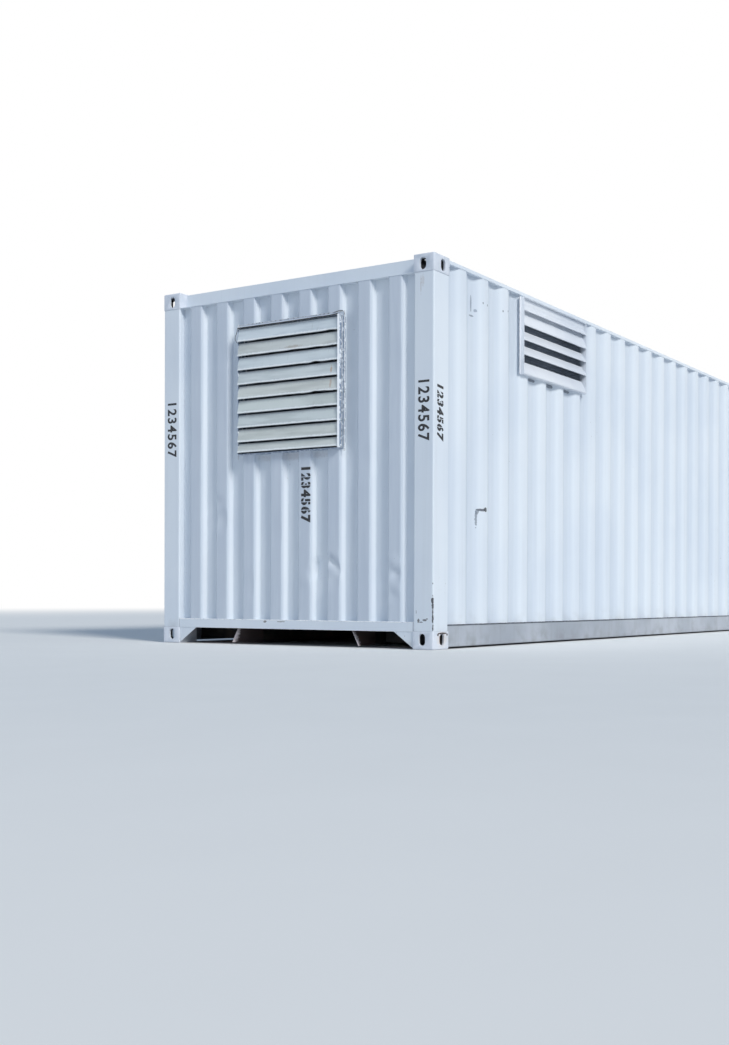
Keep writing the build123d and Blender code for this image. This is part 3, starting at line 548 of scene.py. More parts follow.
@dataclass(frozen=True)
class CoatedSheet(Finish):
    """Coil-coated louvre sheet, folded after coating: satin, with a painted highlight on each lip and painted
    shadow under each lip.

    Attributes:
        colour: Clean coat.
        shade: Coat under a film of dirt.
        lip: Coat at the lip, brightened as a painted highlight.
        lip_shadow: Painted shadow under the lip above, at the top of each blade.
        lowest_lip_mm: Level of the lowest blade's lip.
        pitch_mm: Distance between lips.
    """

    colour: str
    shade: str
    lip: str = "#EDF1F2"
    lip_shadow: str = "#8F9296"
    lowest_lip_mm: float = 1341.8
    pitch_mm: float = 102.4

    def recipe(self) -> Recipe:
        """Lay dirt, drips, painted shadow under each lip and a painted highlight on each lip over the coat.

        Returns:
            The recipe.
        """
        # Dirt films follow the blade, so they are long across it and short down it.
        dirt = Cloud((300, 340, 40), span=(0.4, 0.7))
        # Painted shadow at the top of each blade, under the lip above.
        dust = BladeShare(self.lowest_lip_mm, self.pitch_mm, span=(0.6, 0.96), cover=(0.0, 0.62))
        # Painted highlight on each lip.
        lip_highlight = BladeShare(self.lowest_lip_mm, self.pitch_mm, span=(0.16, 0.07), cover=(0.0, 0.85))
        return Recipe(
            self.colour,
            (Film(self.shade, dirt),
             Film("#8F8F86", Cloud((18, 18, 160), span=(0.62, 0.78), cover=(0.0, 0.16))),
             Film(self.lip_shadow, dust), Film(self.lip, lip_highlight)),
            (Relief(Cloud((160, 160, 80), 2), 0.8, 0.5),),
            Following(dirt, span=(0.0, 1.0), cover=(0.38, 0.56)),
            {"IOR": 1.5}, Cloud(12),
        )


@dataclass(frozen=True)
class CaulkedFlange(Finish):
    """Louvre flange caulked by hand: white smears over dusty sheet at its sides, wall enamel on its head.

    Attributes:
        smear: Clean sealant.
        dust: Dusty sheet between the smears.
        painted: Enamel on the head.
        head_mm: Level from which the flange is painted with the wall.
    """

    smear: str = "#E9EEF4"
    dust: str = "#8C9BB0"
    painted: str = "#DDE3EC"
    head_mm: float = 2262.0

    def recipe(self) -> Recipe:
        """Smear sealant over the dust, and paint the head.

        Returns:
            The recipe.
        """
        # Thumb-wide smears are 15 to 30 mm long.
        smears = Cloud((24, 18, 34), 3, 0.6, span=(0.53, 0.6))
        head = Level("Z", span=((self.head_mm - 3) * MM, (self.head_mm + 2) * MM))
        return Recipe(
            self.dust, (Film(self.smear, smears), Film(self.painted, head)), (Relief(smears, 1.2, 0.7),),
            Following(smears, span=(0.0, 1.0), cover=(0.7, 0.5)), {"IOR": 1.45},
        )


@dataclass(frozen=True)
class Zinc(Finish):
    """Hot-dip galvanised steel: flat crystals of a few centimetres, dulled and whitened by weather.

    Attributes:
        light: Brighter crystals.
        dark: Darker crystals.
        crystal_mm: Width of a crystal.
        rust: Cover of the rust that has started.
    """

    light: str = "#B9BEC2"
    dark: str = "#8F969C"
    crystal_mm: float = 16.0
    rust: float = 0.3

    def recipe(self) -> Recipe:
        """Lay white bloom and first rust over the crystals.

        Returns:
            The recipe.
        """
        bloom = Cloud(60, 4, span=(0.48, 0.7), cover=(0.0, 0.6))
        rust = Cloud(34, 5, 0.65, span=(0.64, 0.72), cover=(0.0, self.rust))
        return Recipe(
            self.light,
            (Film(self.dark, Crystals(self.crystal_mm)), Film("#D4D8DA", bloom), Film("#7A4A2C", rust)),
            (Relief(Cloud(8), 0.15, 0.4),),
            Following(bloom, span=(0.0, 0.6), cover=(0.38, 0.62)), {"Metallic": 0.75},
        )


@dataclass(frozen=True)
class Undercoat(Finish):
    """Coat brushed on where nobody looks, such as bitumen or primer: dull, muddy and rusting through.

    Attributes:
        colour: The coat.
        mud: Dried mud.
        mud_cover: Cover of the mud.
    """

    colour: str = "#2E2D2C"
    mud: str = "#6E6257"
    mud_cover: float = 0.5

    def recipe(self) -> Recipe:
        """Lay mud and rust over the coat.

        Returns:
            The recipe.
        """
        mud = Cloud(170, 5, 0.6, span=(0.5, 0.72), cover=(0.0, self.mud_cover))
        rust = Cloud(48, 5, 0.65, span=(0.66, 0.74), cover=(0.0, 0.7))
        # Brush marks are 4 to 6 mm wide and run along the members.
        marks = Relief(Cloud((90, 90, 5)), 0.5, 0.5)
        return Recipe(self.colour, (Film(self.mud, mud), Film("#6A3B22", rust)), (marks,),
                      Following(mud, span=(0.0, 0.5), cover=(0.58, 0.85)), {"IOR": 1.5})


@dataclass(frozen=True)
class Plywood(Finish):
    """Tropical hardwood plywood, oiled and trodden: long dark pores and scuffs.

    Attributes:
        light: Early wood.
        dark: Late wood.
    """

    light: str = "#8A5E3C"
    dark: str = "#5C3B26"

    def recipe(self) -> Recipe:
        """Draw the figure and the pores, and scuff them.

        Returns:
            The recipe.
        """
        figure = Cloud((900, 38, 38), 5, 0.6, span=(0.36, 0.66))
        # Pores are under 1 mm wide; they are drawn 4 mm wide.
        pores = Cloud((60, 4, 4), 2, span=(0.62, 0.72), cover=(0.0, 0.55))
        scuffs = Cloud(260, 5, 0.6, span=(0.55, 0.75), cover=(0.0, 0.45))
        return Recipe(
            self.light, (Film(self.dark, figure), Film("#33211A", pores), Film("#9A8B7B", scuffs)),
            (Relief(Cloud((60, 4, 4), 2), 0.4, 0.5),),
            Following(scuffs, span=(0.0, 0.45), cover=(0.5, 0.8)), {"IOR": 1.5},
        )


@dataclass(frozen=True)
class Rubber(Finish):
    """Extruded door rubber: matt black with a grey bloom.

    Attributes:
        colour: The rubber.
        bloom: Bloom on its surface.
    """

    colour: str = "#242526"
    bloom: str = "#4C4E50"

    def recipe(self) -> Recipe:
        """Lay the bloom over fine extrusion lines.

        Returns:
            The recipe.
        """
        bloom = Cloud(80, 4, span=(0.45, 0.75), cover=(0.0, 0.6))
        # Extrusion lines are finer than a millimetre; they are drawn at 3 mm.
        lines = Relief(Cloud((3, 3, 200), 2), 0.2, 0.4)
        return Recipe(self.colour, (Film(self.bloom, bloom),), (lines,),
                      Following(bloom, span=(0.0, 0.6), cover=(0.6, 0.85)), {"IOR": 1.52})


@dataclass(frozen=True)
class StencilInk(Finish):
    """Black marking paint sprayed through a stencil: thin at the edges and chalking.

    Attributes:
        colour: Fresh paint.
        faded: Chalked paint.
    """

    colour: str = "#1F2126"
    faded: str = "#4D525C"

    def recipe(self) -> Recipe:
        """Fade the paint in patches.

        Returns:
            The recipe.
        """
        fade = Cloud(22, 4, 0.6, span=(0.48, 0.74), cover=(0.0, 0.8))
        return Recipe(self.colour, (Film(self.faded, fade),), (Relief(Cloud(6, 2), 0.05, 0.4),),
                      Following(fade, span=(0.0, 0.8), cover=(0.5, 0.72)), {"IOR": 1.48})


@dataclass(frozen=True)
class Sealant(Finish):
    """Gun-applied sealant, smeared by hand: chalky, lumpy, with dirt stuck to it.

    Attributes:
        colour: Clean sealant.
        dirt: Dirt stuck to it.
    """

    colour: str = "#D6D9DC"
    dirt: str = "#8D9298"

    def recipe(self) -> Recipe:
        """Stick dirt to the lumps.

        Returns:
            The recipe.
        """
        dirt = Cloud(24, 4, 0.6, span=(0.45, 0.68))
        return Recipe(self.colour, (Film(self.dirt, dirt),), (Relief(Cloud(9), 0.8, 0.6),),
                      Following(dirt, span=(0.0, 1.0), cover=(0.5, 0.8)), {"IOR": 1.42})


def rest_hands() -> None:
    """Leave edit mode and deselect everything."""
    if bpy.context.object and bpy.context.object.mode != "OBJECT":
        bpy.ops.object.mode_set(mode="OBJECT")
    bpy.ops.object.select_all(action="DESELECT")


class Workpiece:
    """One mesh that is shaped from a primitive, as by hand."""

    def __init__(self, name: str, primitive: Callable[..., Any], **size: Any) -> None:
        """Add the primitive that the piece starts from.

        Args:
            name: Name of the piece.
            primitive: Operator that adds the primitive.
            **size: Sizes and place of the primitive.
        """
        rest_hands()
        primitive(**size)
        self.obj = bpy.context.active_object
        self.rename(name)
        bpy.ops.object.transform_apply(location=True, rotation=True, scale=True)

    @classmethod
    def adopt(cls, obj: bpy.types.Object, name: str) -> "Workpiece":
        """Take on a mesh that already stands in the scene.

        Args:
            obj: The mesh object.
            name: Name that it gets.

        Returns:
            The piece.
        """
        piece = cls.__new__(cls)
        piece.obj = obj
        piece.rename(name)
        return piece

    @classmethod
    def block(cls, name: str, low: Sequence[float], high: Sequence[float]) -> "Workpiece":
        """Start from a cube stretched between two corners.

        Args:
            name: Name of the piece.
            low: Lowest corner, in metres.
            high: Highest corner, in metres.

        Returns:
            The new piece.
        """
        piece = cls(name, bpy.ops.mesh.primitive_cube_add, size=1)
        size = [top - foot for foot, top in zip(low, high)]
        middle = [(top + foot) / 2 for foot, top in zip(low, high)]
        piece.obj.data.transform(Matrix.Translation(middle) @ Matrix.Diagonal((*size, 1)))
        return piece

    @classmethod
    def strip(cls, name: str, start: Vector, along: Vector, across: Vector) -> "Workpiece":
        """Start from a plane with one corner at start and two sides given as vectors.

        Args:
            name: Name of the piece.
            start: Corner of the strip.
            along: Side towards the edge that is extruded next.
            across: Side that the extruded edge follows.

        Returns:
            The new piece.
        """
        piece = cls(name, bpy.ops.mesh.primitive_plane_add, size=1)
        sides = Matrix((along, across, along.cross(across).normalized())).transposed().to_4x4()
        piece.obj.data.transform(Matrix.Translation(start + along / 2 + across / 2) @ sides)
        return piece

    def rename(self, name: str) -> None:
        """Name the object and its mesh."""
        self.obj.name = name
        self.obj.data.name = name

    def take_up(self) -> None:
        """Select this piece alone."""
        rest_hands()
        self.obj.select_set(True)
        bpy.context.view_layer.objects.active = self.obj

    @contextmanager
    def editing(self) -> Iterator[None]:
        """Work on the mesh in edit mode.

        Yields:
            Nothing; the mesh is open while the block runs.
        """
        self.take_up()
        bpy.ops.object.mode_set(mode="EDIT")
        try:
            yield
        finally:
            bpy.ops.object.mode_set(mode="OBJECT")

    def select(self, kind: str, test: Callable[[Any], bool]) -> None:
        """Select vertices, edges or faces in edit mode by a test of their own.

        Args:
            kind: VERT, EDGE or FACE.
            test: Says whether an element is wanted.
        """
        bpy.ops.mesh.select_mode(type=kind)
        bpy.ops.mesh.select_all(action="DESELECT")
        mesh = bmesh.from_edit_mesh(self.obj.data)
        for element in {"VERT": mesh.verts, "EDGE": mesh.edges, "FACE": mesh.faces}[kind]:
            if test(element):
                element.select_set(True)
        mesh.select_flush_mode()
        bmesh.update_edit_mesh(self.obj.data)

    def select_edges_at(self, point: Vector, axis: Vector) -> None:
        """Select the edges that lie in the plane through a point, square to an axis."""
        slack = PLANE_SLACK_MM * MM
        self.select("EDGE", lambda e: all(abs((v.co - point).dot(axis)) < slack for v in e.verts))

    def extrude(self, offset: Sequence[float]) -> None:
        """Pull what is selected out along an offset."""
        bpy.ops.mesh.extrude_region_move(TRANSFORM_OT_translate={"value": offset})

    def round_off(self, width_mm: float, segments: int) -> None:
        """Round the selected edges."""
        bpy.ops.mesh.bevel(offset=width_mm * MM, segments=segments, affect="EDGES")

    def round_folds(self, width_mm: float, segments: int) -> None:
        """Round every edge between two faces of an open sheet."""
        self.select("EDGE", lambda e: len(e.link_faces) == 2)
        self.round_off(width_mm, segments)

    def bisect(self, point: Sequence[float], normal: Sequence[float]) -> None:
        """Cut the whole mesh along a plane and keep both sides."""
        bpy.ops.mesh.select_all(action="SELECT")
        bpy.ops.mesh.bisect(plane_co=point, plane_no=normal)

    def divide(self, start: Sequence[float], step: Sequence[float], count: int) -> None:
        """Cut the mesh into equal rows.

        Args:
            start: Point at the start of the first row.
            step: Step from row to row.
            count: Number of rows.
        """
        for row in range(1, count):
            self.bisect([foot + row * move for foot, move in zip(start, step)], Vector(step).normalized())

    def cut_opening(self, axis: int, sides: Sequence[float], levels: Sequence[float]) -> None:
        """Cut an upright opening out of an open sheet in edit mode.

        Args:
            axis: Axis across the opening, 0 for X and 1 for Y.
            sides: Places of its sides on that axis.
            levels: Levels of its foot and its top.
        """
        across = Vector((1 - axis, axis, 0))
        for side in sides:
            self.bisect(across * side, across)
        for level in levels:
            self.bisect(UP * level, UP)
        self.select("FACE", lambda f: min(sides) < f.calc_center_median()[axis] < max(sides)
                    and levels[0] < f.calc_center_median().z < levels[1])
        bpy.ops.mesh.delete(type="FACE")

    def face_towards(self, outward: Sequence[float]) -> None:
        """Turn an open sheet in edit mode so that its largest face looks outward.

        Args:
            outward: Direction of the sheet's outer side.
        """
        bpy.ops.mesh.select_all(action="SELECT")
        mesh = bmesh.from_edit_mesh(self.obj.data)
        if max(mesh.faces, key=lambda face: face.calc_area()).normal.dot(Vector(outward)) < 0:
            bpy.ops.mesh.flip_normals()

    def push(self, offset: Vector, reach_mm: float, fade: Fade = Fade.SOFT) -> None:
        """Move the selected vertices and draw their surroundings along.

        Args:
            offset: Move of the selected vertices.
            reach_mm: Distance over which the move fades.
            fade: How it fades.
        """
        bpy.ops.transform.translate(
            value=offset, use_proportional_edit=True, proportional_edit_falloff=fade.value,
            proportional_size=reach_mm * MM, use_proportional_connected=True,
        )

    def apply(self, kind: str, **settings: Any) -> None:
        """Add a modifier and apply it at once.

        Args:
            kind: Blender's name of the modifier.
            **settings: Its attributes.
        """
        self.take_up()
        modifier = self.obj.modifiers.new(kind.title(), kind)
        for key, value in settings.items():
            setattr(modifier, key, value)
        bpy.ops.object.modifier_apply(modifier=modifier.name)

    def thicken(self, sheet_mm: float, offset: float = -1.0, even: bool = True) -> None:
        """Give a sheet its thickness, away from its outer side unless the offset says otherwise."""
        self.apply("SOLIDIFY", thickness=sheet_mm * MM, offset=offset, use_even_offset=even)

    def break_edges(self, width_mm: float, segments: int) -> None:
        """Break every edge sharper than 50 degrees."""
        self.apply("BEVEL", width=width_mm * MM, segments=segments, limit_method="ANGLE",
                   angle_limit=math.radians(50))

    def repeat(self, count: int, step: Sequence[float], merge_mm: float = 0.0) -> None:
        """Repeat the mesh in equal steps.

        Args:
            count: Number of copies.
            step: Step from one to the next.
            merge_mm: Distance under which their meeting vertices are merged.
        """
        self.apply("ARRAY", count=count, use_relative_offset=False, use_constant_offset=True,
                   constant_offset_displace=step, use_merge_vertices=merge_mm > 0,
                   merge_threshold=merge_mm * MM)

    def cut(self, cutter: "Workpiece", **settings: Any) -> None:
        """Take another piece's volume away and drop that piece."""
        self.apply("BOOLEAN", operation="DIFFERENCE", object=cutter.obj, solver="EXACT", **settings)
        bpy.data.objects.remove(cutter.obj)

    def tidy(self) -> None:
        """Merge doubles and turn every face outwards."""
        with self.editing():
            bpy.ops.mesh.select_all(action="SELECT")
            bpy.ops.mesh.remove_doubles(threshold=0.00001)
            bpy.ops.mesh.normals_make_consistent(inside=False)

    def copy(self, name: str, move: Matrix) -> "Workpiece":
        """Copy the piece with a mesh of its own.

        Args:
            name: Name of the copy.
            move: Where the copy goes; a mirror image is turned right side out.

        Returns:
            The copy.
        """
        obj = self.obj.copy()
        obj.data = self.obj.data.copy()
        bpy.context.scene.collection.objects.link(obj)
        obj.data.transform(move)
        if move.determinant() < 0:
            obj.data.flip_normals()
        return Workpiece.adopt(obj, name)

    def join(self, others: Sequence["Workpiece"], name: str) -> None:
        """Join other pieces into this one, which gets a new name.

        Args:
            others: Pieces that it takes in.
            name: New name.
        """
        self.take_up()
        for other in others:
            other.obj.select_set(True)
        bpy.ops.object.join()
        self.rename(name)

    def dress(self, finish: Finish, slot: Slot, replaces: Sequence[str] = (),
              smooth_deg: float = 35.0) -> None:
        """Give the piece its finish and its body.

        Args:
            finish: Finish of the piece.
            slot: Slot of the record that it belongs to; not used.
            replaces: CAD nodes that it stands for.
            smooth_deg: Angle under which edges are smoothed.
        """
        self.take_up()
        bpy.ops.object.shade_smooth_by_angle(angle=math.radians(smooth_deg))
        self.obj.data.materials.clear()
        self.obj.data.materials.append(finish.material())
        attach(self.obj, BODY)
        if replaces:
            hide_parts(*replaces)
        log.info("%s: %d faces", self.obj.name, len(self.obj.data.polygons))


@dataclass
class CorrugatedSheet:
    """Sheet pressed into crests and recesses, with rounded folds.

    Attributes:
        name: Name of the piece.
        start: Foot of the sheet's first edge, in the plane of the recesses.
        along: Direction in which the corrugations follow each other.
        outward: Direction of the crests.
        length: Length of the sheet, in metres.
        height: Height of the sheet, in metres.
        first_crest_mm: Middle of the first crest, from the start.
        pitch_mm: Distance between crests.
        crest_mm: Width of a crest.
        slope_mm: Run of a slope along the sheet.
        depth_mm: Height of a crest.
        count: Number of crests.
        fold_mm: Size of the rounding at a fold.
    """

    name: str
    start: Vector
    along: Vector
    outward: Vector
    length: float
    height: float
    first_crest_mm: float
    pitch_mm: float
    crest_mm: float
    slope_mm: float
    depth_mm: float
    count: int
    fold_mm: float

    def press(self) -> Workpiece:
        """Press one crest, round its folds and repeat it along the sheet.

        Returns:
            The sheet, still without thickness.
        """
        lead = (self.first_crest_mm - self.pitch_mm / 2) * MM
        pitch = self.pitch_mm * MM
        flat = self.along * ((self.pitch_mm - self.crest_mm) / 2 - self.slope_mm) * MM
        crest = self.along * self.crest_mm * MM
        slope = self.along * self.slope_mm * MM
        rise = self.outward * self.depth_mm * MM
        first = self.start + self.along * lead
        piece = Workpiece.strip(self.name, first, flat, UP * self.height)
        with piece.editing():
            piece.select_edges_at(first + flat, self.along)
            for step in (slope + rise, crest, slope - rise, flat):
                piece.extrude(step)
            piece.round_folds(self.fold_mm, 3)
        piece.repeat(self.count, self.along * pitch, 0.2)
        with piece.editing():
            piece.select_edges_at(first, self.along)
            piece.extrude(self.along * -lead)
            piece.select_edges_at(first + self.along * self.count * pitch, self.along)
            piece.extrude(self.along * (self.length - lead - self.count * pitch))
        return piece


@dataclass(frozen=True)
class Dent:
    """Dent in a sheet, pushed in from outside.

    Attributes:
        across_mm: Place across the sheet.
        level_mm: Height of its middle.
        depth_mm: Depth at its middle; a negative depth bulges.
        reach_mm: Distance over which it fades.
        fade: Whether its rim is soft or creased.
    """

    across_mm: float
    level_mm: float
    depth_mm: float
    reach_mm: float
    fade: Fade = Fade.SOFT


@dataclass
class FrontWall:
    """Corrugated end wall with the dents of long use and the opening of its louvre.

    Attributes:
        pitch_mm: Distance between crests.
        crest_mm: Width of a crest.
        slope_mm: Run of a slope.
        depth_mm: Depth of a recess.
        count: Number of crests.
        fold_mm: Size of the rounding at a fold.
        sheet_mm: Thickness.
        opening_mm: Width of the louvre's sleeve.
        opening_foot_mm: Level of the sleeve's foot.
        opening_top_mm: Level of the sleeve's top.
        row_mm: Height of a row of faces where dents lie.
        crest_columns: Cuts down a crest, as shares of its width from its middle.
        recess_columns: Cuts down a recess, as shares of a crest's width from its middle.
        dents: Dents of the wall.
    """

    pitch_mm: float = 257.0
    crest_mm: float = 106.0
    slope_mm: float = 18.0
    depth_mm: float = 45.6
    count: int = 8
    fold_mm: float = 7.0
    sheet_mm: float = 2.0
    opening_mm: float = 910.0
    opening_foot_mm: float = 1358.0
    opening_top_mm: float = 2262.0
    row_mm: float = 20.0
    crest_columns: tuple[float, ...] = (-0.34, -0.17, 0.0, 0.17, 0.34)
    recess_columns: tuple[float, ...] = (-0.4, 0.4)
    dents: tuple[Dent, ...] = (
        Dent(640, 905, 14, 110), Dent(687, 1047, 9, 60, Fade.CREASED), Dent(618, 892, -4, 90),
        Dent(-200, 575, 28, 52, Fade.CREASED), Dent(-192, 520, 18, 70, Fade.CREASED), Dent(-150, 450, -4, 80),
        Dent(-345, 597, 14, 44, Fade.CREASED), Dent(-372, 574, 16, 46, Fade.CREASED),
        Dent(-400, 550, 15, 46, Fade.CREASED), Dent(-428, 526, 12, 44, Fade.CREASED),
        Dent(-375, 480, 10, 110), Dent(-400, 640, -4, 60),
        Dent(-873, 505, 10, 56, Fade.CREASED), Dent(-926, 505, 11, 56, Fade.CREASED),
        Dent(-900, 570, -7, 70), Dent(-880, 350, 8, 60, Fade.CREASED), Dent(-926, 395, -4, 60),
        Dent(385, 420, 6, 140), Dent(905, 1500, 5, 200), Dent(-640, 1250, 5, 180), Dent(130, 800, 4, 170),
        Dent(-900, 1900, 5, 200), Dent(640, 2100, 4, 150),
    )

    def build(self) -> None:
        """Press, dent, cut and dress the wall."""
        low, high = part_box("front_wall")
        forward = Vector((-1, 0, 0))
        start = Vector((low.x + self.depth_mm * MM, high.y, low.z))
        piece = CorrugatedSheet(
            "front_wall_sheet", start, Vector((0, -1, 0)), forward, high.y - low.y, high.z - low.z,
            (high.y - low.y) / MM / 2 - (self.count - 1) / 2 * self.pitch_mm,
            self.pitch_mm, self.crest_mm, self.slope_mm, self.depth_mm, self.count, self.fold_mm,
        ).press()
        half = self.opening_mm / 2 * MM
        with piece.editing():
            row = self.row_mm * MM
            piece.divide((0, 0, low.z), (0, 0, row), int((high.z - low.z) / row))
            for crest in range(self.count):
                middle = ((self.count - 1) / 2 - crest) * self.pitch_mm
                recess = middle + self.pitch_mm / 2
                columns = [middle + share * self.crest_mm for share in self.crest_columns]
                columns += [recess + share * self.crest_mm for share in self.recess_columns]
                for column in columns:
                    piece.bisect((0, column * MM, 0), (0, 1, 0))
            for dent in self.dents:
                self.press_in(piece, dent)
            piece.cut_opening(1, (half, -half), (self.opening_foot_mm * MM, self.opening_top_mm * MM))
            piece.face_towards(forward)
        piece.thicken(self.sheet_mm)
        piece.dress(FRONT_ENAMEL, Slot.ENAMEL, ["front_wall"])

    def press_in(self, piece: Workpiece, dent: Dent) -> None:
        """Push the vertex nearest to a dent's middle, and its surroundings.

        Args:
            piece: The sheet, open in edit mode.
            dent: The dent.
        """
        mesh = bmesh.from_edit_mesh(piece.obj.data)
        place = Vector((0, dent.across_mm * MM, dent.level_mm * MM))
        nearest = min(mesh.verts, key=lambda v: (Vector((0, v.co.y, v.co.z)) - place).length).co.copy()
        piece.select("VERT", lambda v: (v.co - nearest).length < 0.1 * MM)
        piece.push(Vector((dent.depth_mm * MM, 0, 0)), dent.reach_mm, dent.fade)


@dataclass
class SideWall:
    """Corrugated long wall, with the opening of its louvre on the right side.

    Attributes:
        side: Long side that it closes.
        pitch_mm: Distance between crests.
        crest_mm: Width of a crest.
        slope_mm: Run of a slope.
        depth_mm: Depth of a recess.
        first_crest_mm: Middle of the first crest, from the front casting.
        count: Number of crests.
        fold_mm: Size of the rounding at a fold.
        sheet_mm: Thickness.
        row_mm: Height of a row of faces.
    """

    side: Side
    pitch_mm: float = 278.0
    crest_mm: float = 72.0
    slope_mm: float = 68.0
    depth_mm: float = 36.0
    first_crest_mm: float = 182.5
    count: int = 42
    fold_mm: float = 14.0
    sheet_mm: float = 2.0
    row_mm: float = 300.0

    def build(self) -> None:
        """Press, cut and dress the wall."""
        right = self.side is Side.RIGHT
        node = f"{self.side.name.lower()}_wall"
        low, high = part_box(node)
        outward = Vector((0, self.side.value, 0))
        recess = (low.y if right else high.y) - self.side.value * self.depth_mm * MM
        piece = CorrugatedSheet(
            node + "_sheet", Vector((low.x, recess, low.z)), Vector((1, 0, 0)), outward, high.x - low.x,
            high.z - low.z, self.first_crest_mm, self.pitch_mm, self.crest_mm, self.slope_mm, self.depth_mm,
            self.count, self.fold_mm,
        ).press()
        with piece.editing():
            row = self.row_mm * MM
            piece.divide((0, 0, low.z), (0, 0, row), int((high.z - low.z) / row))
            if right:
                louvre = SideLouvre()
                edge = louvre.edge_mm * MM
                piece.cut_opening(0, (louvre.left, louvre.right), (louvre.low.z + edge, louvre.high.z - edge))
            piece.face_towards(outward)
        piece.thicken(self.sheet_mm)
        piece.dress(RIGHT_ENAMEL if right else LEFT_ENAMEL, Slot.ENAMEL, [node])


def lip_levels(first: float, pitch: float, lowest: float) -> list[float]:
    """Levels of a louvre's lips, from the top down.

    Args:
        first: Level of the first lip, in metres.
        pitch: Distance between lips.
        lowest: Level of the last lip, which may lie closer or farther than the others.

    Returns:
        The levels.
    """
    levels = []
    while first - len(levels) * pitch > lowest + pitch / 2:
        levels.append(first - len(levels) * pitch)
    return levels + [lowest]


def faint_knocks(count: int, last_mm: float, lift_mm: float, push_mm: float) -> tuple[tuple[float, ...], ...]:
    """Draw the small knocks that every lip has.

    Args:
        count: Number of knocks.
        last_mm: Place along the blade up to which they lie.
        lift_mm: Largest move up or down.
        push_mm: Largest move inward.

    Returns:
        Place along, upward move, inward move and reach of each.
    """
    return tuple(
        (random.uniform(60, last_mm), random.uniform(-lift_mm, lift_mm), random.uniform(0, push_mm),
         random.uniform(60, 120))
        for _ in range(count)
    )


@dataclass
class LouvreBlade:
    """Folded blade of a louvre: hem, lip, face and upper strip.

    Attributes:
        name: Name of the piece.
        start: Left end of the lip's lower edge, seen from outside.
        along: Direction towards the blade's other end.
        inward: Direction into the container.
        length: Length of the blade, in metres.
        rise_mm: Height of the face.
        run_mm: Depth of the face.
        strip_rise_mm: Height of the upper strip.
        hem_mm: Width of the hem under the lip.
        lean_mm: How far the lip leans out over its height.
        waves: Knocks in the lip, as place along, upward and inward moves and reach, in millimetres.
        lip_mm: Height of the lip.
        strip_run_mm: Depth of the upper strip.
        columns: Number of columns of faces.
        bend_mm: Size of the rounding at a bend.
        grip_mm: Distance from a knock's middle within which the lip moves whole.
        sheet_mm: Thickness.
    """

    name: str
    start: Vector
    along: Vector
    inward: Vector
    length: float
    rise_mm: float
    run_mm: float
    strip_rise_mm: float
    hem_mm: float
    lean_mm: float
    waves: tuple[tuple[float, ...], ...]
    lip_mm: float = 10.0
    strip_run_mm: float = 5.0
    columns: int = 36
    bend_mm: float = 2.2
    grip_mm: float = 14.0
    sheet_mm: float = 1.8

    def fold(self) -> Workpiece:
        """Fold the blade, round its bends, knock its lip and give it thickness.

        Returns:
            The blade.
        """
        side = self.along * self.length
        hem = self.inward * self.hem_mm * MM
        piece = Workpiece.strip(self.name, self.start + hem, -hem, side)
        folds = ((self.lip_mm, self.lean_mm), (self.rise_mm, self.run_mm - self.lean_mm),
                 (self.strip_rise_mm, self.strip_run_mm))
        with piece.editing():
            piece.select_edges_at(self.start, self.inward)
            for rise, run in folds:
                piece.extrude(UP * rise * MM + self.inward * run * MM)
            piece.round_folds(self.bend_mm, 2)
            piece.divide(self.start, side / self.columns, self.columns)
            for place, lift, push, reach in self.waves:
                knock = self.start + self.along * place * MM + UP * self.lip_mm / 2 * MM
                piece.select("VERT", lambda v: (v.co - knock).length < self.grip_mm * MM)
                piece.push(UP * lift * MM + self.inward * push * MM, reach)
            piece.face_towards(-self.inward)
        piece.thicken(self.sheet_mm)
        return piece


